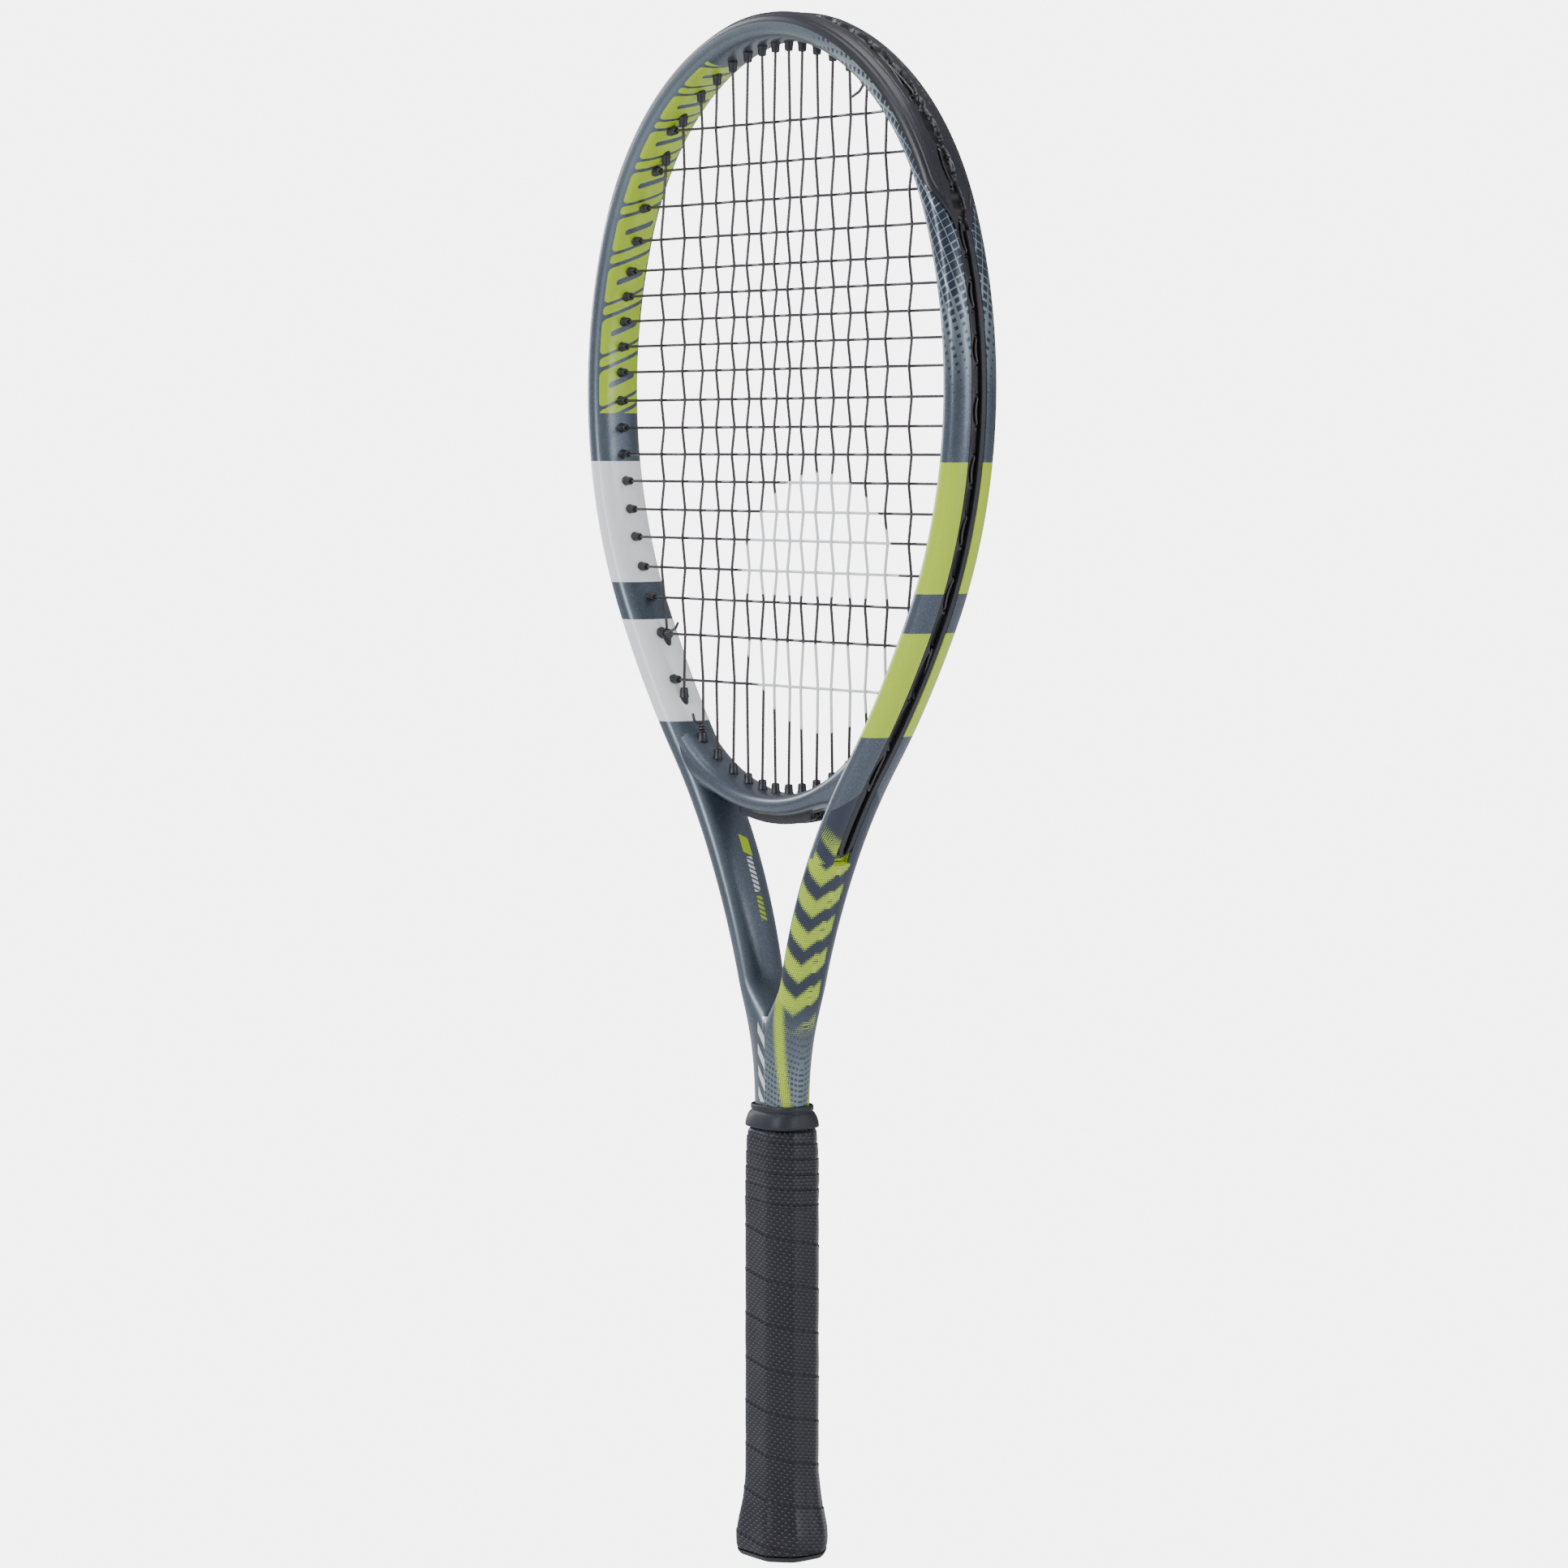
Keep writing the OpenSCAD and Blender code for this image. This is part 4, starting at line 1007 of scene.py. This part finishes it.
def crown_run(i):
    a = crown_heading(MAIN_X[i], LANE) + 0.5
    b = crown_heading(MAIN_X[i + 1], LANE) - 0.5
    out = []
    for t in RUN_STEPS:
        h = mix(a, b, t)
        x, z = rim(0 if h < HEADING[1] else 1, h, LANE)
        out.append((x, main_y(i + 1) * t, z))
    return out


def bridge_run(i, radius):
    a = math.asin(MAIN_X[i] / radius) + 0.01
    b = math.asin(MAIN_X[i + 1] / radius) - 0.01
    angles = [mix(a, b, t) for t in RUN_STEPS]
    return [(radius * math.sin(h), 0.0, BRIDGE_CENTRE - radius * math.cos(h)) for h in angles]


def foot_run():
    heights = [mix(foot_z(MAIN_X[5], LANE) + 1, foot_z(MAIN_X[6], LANE) - 1, t) for t in RUN_STEPS]
    return [(rim_x(z, LANE), SHARED * (1 - t), z) for t, z in zip(RUN_STEPS, heights)]


def knot_turns(centre, axis, start, turns=2.2, radius=1.2, pitch=1.25):
    """Round turns of a knot about an axis through its centre."""
    axis = V(axis, float)
    side, up = across(axis)
    out = []
    for s in range(int(turns * 10) + 1):
        a = start + 2 * math.pi * s / 10
        r = radius * (1 + 0.10 * math.sin(a * 1.7))
        turned = r * (math.cos(a) * side + math.sin(a) * up)
        out.append(tuple(V(centre) + axis * pitch * (s / 10 - turns / 2) + turned))
    return out


def main_end():
    """From the last main up the channel to the hole that it shares with a cross, and the knot there."""
    z0, z1 = foot_z(MAIN_X[7], LANE), CROSS_Z[17]
    xi = cross_tip(z1)
    run = []
    for t in RUN_STEPS:
        z = mix(z0 + 1, z1 - 0.8, t)
        run.append((rim_x(z, LANE), mix(BARREL_SHIFT, SHARED, smooth(t * 5 / 3 - 0.6)), z))
    knot = knot_turns((xi - 1.9, -0.1, z1), (-1, 0, 0), 1.2)
    tail = [(xi - 3.6, 2.2, z1 + 2.2), (xi - 5.0, 2.5, z1 + 5.0)]
    return run + [(rim_x(z1, LANE + LANE_RISE), SHARED, z1), (xi, SHARED, z1)] + knot + tail


def mains_route(side):
    low_runs = (bridge_run(1, BRIDGE_LANE), bridge_run(3, FLUSH_LANE), foot_run(), main_end())
    route = []
    for i, low_run in zip((0, 2, 4, 6), low_runs):
        route += main_span(i, side)[::-1] + crown_run(i) + main_span(i + 1, side) + low_run
    return route


def cross_span(j):
    """One cross string from left to right, over and under the mains."""
    z = CROSS_Z[j]
    xi, xo = cross_tip(z), rim_x(z, LANE + LANE_RISE)
    y = cross_y(j)
    mains = [(-MAIN_X[i], -WEAVE * over(i + 1, j)) for i in range(7, -1, -1) if MAIN_X[i] < xi - 3]
    mains += [(MAIN_X[i], -WEAVE * over(i, j)) for i in range(8) if MAIN_X[i] < xi - 3]
    weave = []
    for x, w in mains:
        weave += [(x - WEAVE_FLAT, w, z), (x + WEAVE_FLAT, w, z)]
    return [(-xo, y, z), (-xi, y, z)] + weave + [(xi, y, z), (xo, y, z)]


def side_run(j):
    ya, yb = cross_y(j), cross_y(j + 1)
    out = []
    for t in RUN_STEPS:
        z = mix(CROSS_Z[j] - 0.9, CROSS_Z[j + 1] + 0.9, t)
        out.append((rim_x(z, LANE), mix(ya, yb, t) - 0.9 * math.sin(math.pi * t), z))
    return out


def cross_start():
    """The crosses' free end at the spare hole, and their run along the crown to the first cross."""
    h = crown_heading(SPARE_X, 0)
    a, b = rim(1, h, LANE + LANE_RISE), rim(1, h, 2 * TUBE_HALF + BARREL_OUT)
    first = heading_at_z(CROSS_Z[0] + 1, LANE)
    out = [(b[0] - 6.5, -1.2, b[1] - 5), (b[0] - 2.5, -0.4, b[1] - 3), (b[0], 0.0, b[1]), (a[0], 0.0, a[1])]
    for t in RUN_STEPS:
        x, z = rim(1, mix(h + 0.6, first - 0.4, t), LANE)
        out.append((x, -2.2 * smooth(t), z))
    return out


def cross_end_run():
    """From the last cross down the channel to the hole that it shares with a main, and the knot there."""
    x1 = MAIN_X[5]
    z1, zf = foot_z(x1, LANE), foot_inner(x1) + BARREL_OUT
    out = []
    for s in range(7):
        z = mix(CROSS_Z[18] - 1, z1 + 1, s / 6)
        out.append((-rim_x(z, LANE), mix(-2.2, -SHARED, smooth(s / 2 - 2)), z))
    out += [(-x1, -SHARED, foot_z(x1, LANE + LANE_RISE)), (-x1, -SHARED, zf)]
    out += knot_turns((-x1, 0.1, zf + 1.9), (0, 0, 1), 3.6)
    return out + [(-x1 - 2.4, -2.4, zf + 4.6), (-x1 - 3.2, -2.8, zf + 8)]


def rounded(points, cut):
    """Route with its corners rounded off by short curves."""
    pts = [V(points[0], float)]
    for p in points[1:]:
        if math.dist(p, pts[-1]) > 0.05:
            pts.append(V(p, float))
    out = [pts[0]]
    for a, b, c in zip(pts, pts[1:], pts[2:]):
        p, q = (b + (end - b) * min(cut / math.dist(end, b), 0.45) for end in (a, c))
        out += [(1 - t) ** 2 * p + 2 * t * (1 - t) * b + t * t * q for t in (0.0, 0.25, 0.5, 0.75, 1.0)]
    return out + [pts[-1]]


def tube_along(points, radius, count=12):
    """Round tube along a route with blunt ends, and how many turns it has twisted at each point."""
    p = np.array(points)
    p = p[np.concatenate([[True], np.linalg.norm(np.diff(p, axis=0), axis=1) > 0.02])]
    d = np.diff(p, axis=0)
    gone = np.concatenate([[0], np.cumsum(np.linalg.norm(d, axis=1))])
    d /= np.linalg.norm(d, axis=1)[:, None]
    headings = np.vstack([d[:1], d[:-1] + d[1:], d[-1:]])
    headings /= np.linalg.norm(headings, axis=1)[:, None]
    side = np.cross(headings[0], V([0.0, 1.0, 0.02]))
    ang = around_circle(count)
    rings, twist = [], []
    for i, (at, along) in enumerate(zip(p, headings)):
        side = side - (side @ along) * along
        side /= np.linalg.norm(side)
        spokes = radius * (np.outer(np.cos(ang), side) + np.outer(np.sin(ang), np.cross(along, side)))
        steps = [(0, 1.0)]
        if i == 0:
            steps = [(-0.35 * radius, 0.55)] + steps
        if i == len(p) - 1:
            steps = steps + [(0.35 * radius, 0.55)]
        for shift, scale in steps:
            rings.append(at + along * shift + scale * spokes)
            twist += list(gone[i] / TWIST_PITCH + ang / (2 * math.pi))
    return (*swept(rings), twist)


def strings(name, route):
    points, faces, twist = tube_along(rounded(route, 0.8), STRING_R)
    return build(name, points, faces, {"twist": twist})


def mains():
    across_bridge = [(x, 0, bridge_z(2.4, BRIDGE_LANE)) for x in (-2.4, 2.4)]
    return strings("string_mains", flip(mains_route(-1))[::-1] + across_bridge + mains_route(1))


def crosses():
    route = cross_start()
    for j in range(19):
        leftward = j % 2 == 0
        route += cross_span(j)[::-1] if leftward else cross_span(j)
        if j < 18:
            route += flip(side_run(j)) if leftward else side_run(j)
    return strings("string_crosses", route + cross_end_run())


# ---- handle ----
GRIP_SIDE, GRIP_FACE = V([17.1, 6.6]), V([8.9, 14.7])
FLARE = [(0.0, 1.06), (0.9, 1.15), (2.6, 1.2), (4.5, 1.24), (8, 1.25), (12, 1.235), (16, 1.19), (20, 1.14),
         (25, 1.08), (31, 1.035), (38, 1.0), (168, 1.0), (180, 0.985),
         (188, 0.955), (191.7, 0.93), (193.3, 0.835), (196, 0.8)]
TAPE_LOW, TAPE_HIGH = 2.6, 196.0
PITCH_LOW, PITCH_TOP = 19.8, 6.8
TIGHT_FROM = 158.0  # height above which the tape's turns are close together
TAPE_START = 4.0  # height at which the first turn starts, at angle 0
TAPE_SHY = 0.42  # how far the wrap's mean surface stays inside the CAD's
TAPE_BORE = (12.9, 10.6)  # half sizes of the opening round the shaft at the top
CORNER_POWER = 22.0  # how sharp the octagon's corners are


def level_ring(radius, ang, z):
    """Ring at a height, with its radius given at each angle."""
    return np.stack([radius * np.cos(ang), radius * np.sin(ang), np.full(len(ang), z)], 1)


def oval_ring(z, a, b, power, ang):
    x, y = a * squared(np.cos(ang), power), b * squared(np.sin(ang), power)
    return np.stack([x, y, np.full(len(ang), z)], 1)


def octagon_radius(angle):
    """Distance from the middle to the grip's rounded octagon at an angle (radians)."""
    s, f = GRIP_SIDE, GRIP_FACE
    c, n = np.abs(np.cos(angle)), np.abs(np.sin(angle))
    bevel = V([f[1] - s[1], s[0] - f[0]])
    bevel /= np.linalg.norm(bevel)
    flat = np.stack([c / s[0], n / f[1], (c * bevel[0] + n * bevel[1]) / float(bevel @ s)])
    return 1 / (flat ** CORNER_POWER).sum(0) ** (1 / CORNER_POWER)


def smooth_flare(z):
    """Swelling of the handle at a height, softened between its stations."""
    heights, swell = zip(*FLARE)
    return float(np.interp(z + V([-0.8, -0.4, 0.0, 0.4, 0.8]), heights, swell).mean())


def turns_up_to(z):
    """Turns of tape wrapped up to a height at angle 0."""
    return (min(z, TIGHT_FROM) - TAPE_START) / PITCH_LOW + max(z - TIGHT_FROM, 0) / PITCH_TOP


def grip():
    """Tape wound up the handle, each turn's edge standing a little over the one below it."""
    heights = np.concatenate([np.arange(TAPE_LOW, 40, 0.5), np.arange(40, TIGHT_FROM - 4, 0.55),
                              np.arange(TIGHT_FROM - 4, TAPE_HIGH, 0.3), [TAPE_HIGH]])
    count = 200
    ang = around_circle(count)
    base = octagon_radius(ang)
    gaps = np.linalg.norm(np.diff(level_ring(base, ang, 0), axis=0), axis=1)
    around = np.concatenate([[0], np.cumsum(gaps)])
    whole = float(around[-1] + around[1])
    rings, run, cross, seam = [], [], [], []
    for z in heights:
        turns = turns_up_to(z) + ang / (2 * math.pi)
        within = turns - np.floor(turns)
        pitch = PITCH_LOW if z < TIGHT_FROM else PITCH_TOP
        up = within * pitch  # distance above the turn's lower edge
        step = 0.36 * np.exp(-((pitch - up) / 1.6)) - 0.30 * np.exp(-(up / 0.55)) * smooth(up / 0.15 + 0.4)
        crown = 0.16 * np.sin(math.pi * within)
        lump = 0.05 * np.sin(ang * 3 + z * 0.21) + 0.04 * np.sin(ang * 5 - z * 0.13 + 1.0)
        start = 0.5 * (1 - smooth((z - TAPE_LOW) / 0.9))
        rings.append(level_ring(base * smooth_flare(z) + step + crown + lump - TAPE_SHY - start, ang, z))
        run += list(around + np.floor(turns) * whole)
        cross += list(up)
        seam += list(np.clip(np.exp(-(up / 0.45)) + np.exp(-((pitch - up) / 0.18)) * 0.4, 0, 1))
    inner = [oval_ring(z, *TAPE_BORE, 2.5, ang) for z in (TAPE_HIGH, 186.5)]
    inner += [level_ring((base - 2.2) * swell, ang, z) for z, swell in ((180.0, 1.0), (TAPE_LOW, 1.1))]
    run += list(around) * len(inner)
    cross += [8.0] * (len(inner) * count)
    seam += [0.0] * (len(inner) * count)
    points, faces = swept(rings + inner, closed=True)
    fields = {"tape_run": run, "tape_cross": cross, "seam": seam}
    return build("grip_wrap", points, faces, fields, crisp=60)


def collar():
    """Rubber collar: a flared skirt over the tape's end and a rounded lip on the shaft."""
    outer = [(193.45, 15.55, 13.65, 3), (193.65, 15.8, 13.9, 3), (194.1, 15.9, 14.0, 3),
             (195.2, 15.82, 13.86, 3), (196.5, 15.62, 13.6, 3), (197.9, 15.34, 13.22, 2.9),
             (199.0, 15.04, 12.86, 2.8),
             (199.8, 14.76, 12.46, 2.7), (200.3, 14.5, 12.12, 2.6), (200.6, 14.26, 11.78, 2.5),
             (200.9, 14.26, 11.76, 2.5), (201.15, 14.5, 11.94, 2.5), (201.5, 14.68, 12.08, 2.5),
             (202.6, 14.7, 12.1, 2.5), (203.15, 14.6, 12.0, 2.5), (203.42, 14.4, 11.82, 2.5),
             (203.48, 14.05, 11.55, 2.5)]
    inner = [(203.2, 13.8, 11.35, 2.5), (199.6, 13.8, 11.35, 2.5), (196.4, 14.75, 12.75, 3),
             (193.6, 14.95, 13.1, 3)]
    rings = [oval_ring(*level, around_circle(128)) for level in outer + inner]
    return build("collar_moulded", *swept(rings, closed=True), crisp=60)


def butt_cap():
    """Moulded cap that closes the butt, with a rounded rim and a recess for the lid."""
    ang = around_circle(160)
    base = octagon_radius(ang)
    outer = ((0.0, 1.03), (0.04, 1.06), (0.3, 1.105), (0.9, 1.15), (1.7, 1.185), (2.55, 1.2), (2.56, 1.11),
             (12, 1.14), (29, 0.96))
    recess = ((29, 13.2, 12.2), (5, 13.2, 12.2), (4.9, 9.6, 6.6), (2.0, 9.6, 6.6), (2.0, 11.6, 8.6),
              (0.0, 11.6, 8.6))
    rings = [level_ring(base * swell, ang, z) for z, swell in outer]
    rings += [oval_ring(z, a, b, 3, ang) for z, a, b in recess]
    return build("butt_cap_moulded", *swept(rings, closed=True), crisp=40)


# ---- studio ----
BACKDROP = 5.7  # brightness of floor and backdrop as the camera sees them
ROOM_LIGHT = 0.34  # brightness of the room that lights the racket
LIGHT_TINT = (0.94, 0.96, 1.0)
FLOOR_DROP, FLOOR_REACH = 13.0, 60000.0  # floor below the butt, with room for the lid, and its half size
LENS_MM, SENSOR_MM, FAR_CLIP = 103.08, 36.0, 200.0
CAMERA_AT, CAMERA_TOWARD = (1.57296, -1.20958, 0.49464), (-0.79025, 0.60822, -0.07462)


def seen_directly(tree):
    """1 for what the camera sees itself, 0 for the light that reaches the racket."""
    return tree.nodes.new("ShaderNodeLightPath").outputs["Is Camera Ray"]


def floor_and_world():
    """Pale floor that runs into a plain pale backdrop."""
    signs = ((-1, -1), (1, -1), (1, 1), (-1, 1))
    corners = [[x * FLOOR_REACH, y * FLOOR_REACH, -FLOOR_DROP] for x, y in signs]
    floor = build("studio_floor", corners, [[0, 1, 2, 3]])
    mat = material("studio_floor_pale", specular=0.1)
    tone = noise(2.5, 3, 0.5)
    dressed(mat, paint_over((0.80, 0.80, 0.805), (0.83, 0.83, 0.835), tone), 0.75 + 0.1 * tone)
    glow = Field.tree.nodes.new("ShaderNodeEmission")
    glow.inputs["Color"].default_value = (1, 1, 1, 1)
    glow.inputs["Strength"].default_value = BACKDROP
    blend = Field.tree.nodes.new("ShaderNodeMixShader")
    out = Field.tree.nodes["Material Output"]
    Field.tree.links.new(seen_directly(Field.tree), blend.inputs[0])
    Field.tree.links.new(Field.tree.nodes["Principled BSDF"].outputs[0], blend.inputs[1])
    Field.tree.links.new(glow.outputs[0], blend.inputs[2])
    Field.tree.links.new(blend.outputs[0], out.inputs["Surface"])
    wear(floor, mat)
    world = bpy.data.worlds.new("studio")
    bpy.context.scene.world = world
    world.use_nodes = True
    tree = world.node_tree
    sky = tree.nodes["Background"]
    sky.inputs["Color"].default_value = (1, 1, 1, 1)
    Field.tree = tree
    strength = Field(seen_directly(tree)) * (BACKDROP - ROOM_LIGHT) + ROOM_LIGHT
    tree.links.new(strength.socket, sky.inputs["Strength"])


def soft_box(name, at, size, power, aim=(0, 0, 0.42)):
    light = bpy.data.lights.new(name, "AREA")
    light.shape = "RECTANGLE"
    light.size, light.size_y = size
    light.energy = power
    light.color = LIGHT_TINT
    obj = bpy.data.objects.new(name, light)
    obj.location = at
    obj.rotation_euler = (Vector(aim) - Vector(at)).to_track_quat("-Z", "Y").to_euler()
    bpy.context.scene.collection.objects.link(obj)


def studio():
    floor_and_world()
    soft_box("key_front", (0.25, -2.3, 1.5), (0.7, 1.7), 46)
    soft_box("fill_right", (2.4, 0.9, 0.9), (0.8, 1.7), 28)
    soft_box("top", (0.0, 0.0, 2.6), (1.4, 1.4), 24)
    soft_box("back_left", (-2.2, -0.4, 1.2), (0.6, 1.7), 30)


def camera():
    data = bpy.data.cameras.new("camera")
    data.lens, data.sensor_width, data.clip_end = LENS_MM, SENSOR_MM, FAR_CLIP
    obj = bpy.data.objects.new("camera", data)
    obj.location = CAMERA_AT
    obj.rotation_euler = Vector(CAMERA_TOWARD).to_track_quat("-Z", "Y").to_euler()
    bpy.context.scene.collection.objects.link(obj)
    bpy.context.scene.camera = obj


# ---- the racket ----
def racket():
    paint = paint_material()
    nylon = nylon_material("grommet_nylon", BLACK, 0.32)
    guard = nylon_material("bumper_nylon", (0.015, 0.015, 0.022), 0.28)
    cord = string_material()
    fit(hoop(), paint, "frame_paint", "racket", "hoop_tube")
    fit(arm("arm_left_painted", -1), paint, "frame_paint", "racket", "left_arm")
    fit(arm("arm_right_painted", 1), paint, "frame_paint", "racket", "right_arm")
    fit(bridge(), paint, "frame_paint", "racket", "bridge_tube")
    fit(bumper(), guard, "nylon", "racket", "bumper_guard")
    fit(side_strip("strip_left_moulded", -1), nylon, "nylon", "racket", "left_strip")
    fit(side_strip("strip_right_moulded", 1), nylon, "nylon", "racket", "right_strip")
    fit(bridge_strip(), nylon, "nylon", "racket", "bridge_strip")
    fit(mains(), cord, "string", "racket", "mains_string")
    fit(crosses(), cord, "string", "racket", "cross_string")
    fit(grip(), grip_material(), "grip_tape", "racket", "grip_tape")
    fit(butt_cap(), nylon_material("cap_plastic", BLACK, 0.38), "cap_plastic", "racket", "butt_cap")
    fit(collar(), rubber_material(), "collar_rubber", "collar", "grip_collar")


def kept_nodes():
    """CAD pieces that keep their shape and get their finish here."""
    laminate, foam, steel = laminate_material(), foam_material(), steel_material()
    finish = {"left_shaft": laminate, "right_shaft": laminate, "front_pallet": foam, "back_pallet": foam,
              "butt_staples": steel, "tape_tack": steel, "finishing_tape": film_material(),
              "butt_lid": nylon_material("lid_plastic", BLACK, 0.36)}
    for node, mat in finish.items():
        wear(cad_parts[node], mat)


racket()
kept_nodes()
studio()
camera()
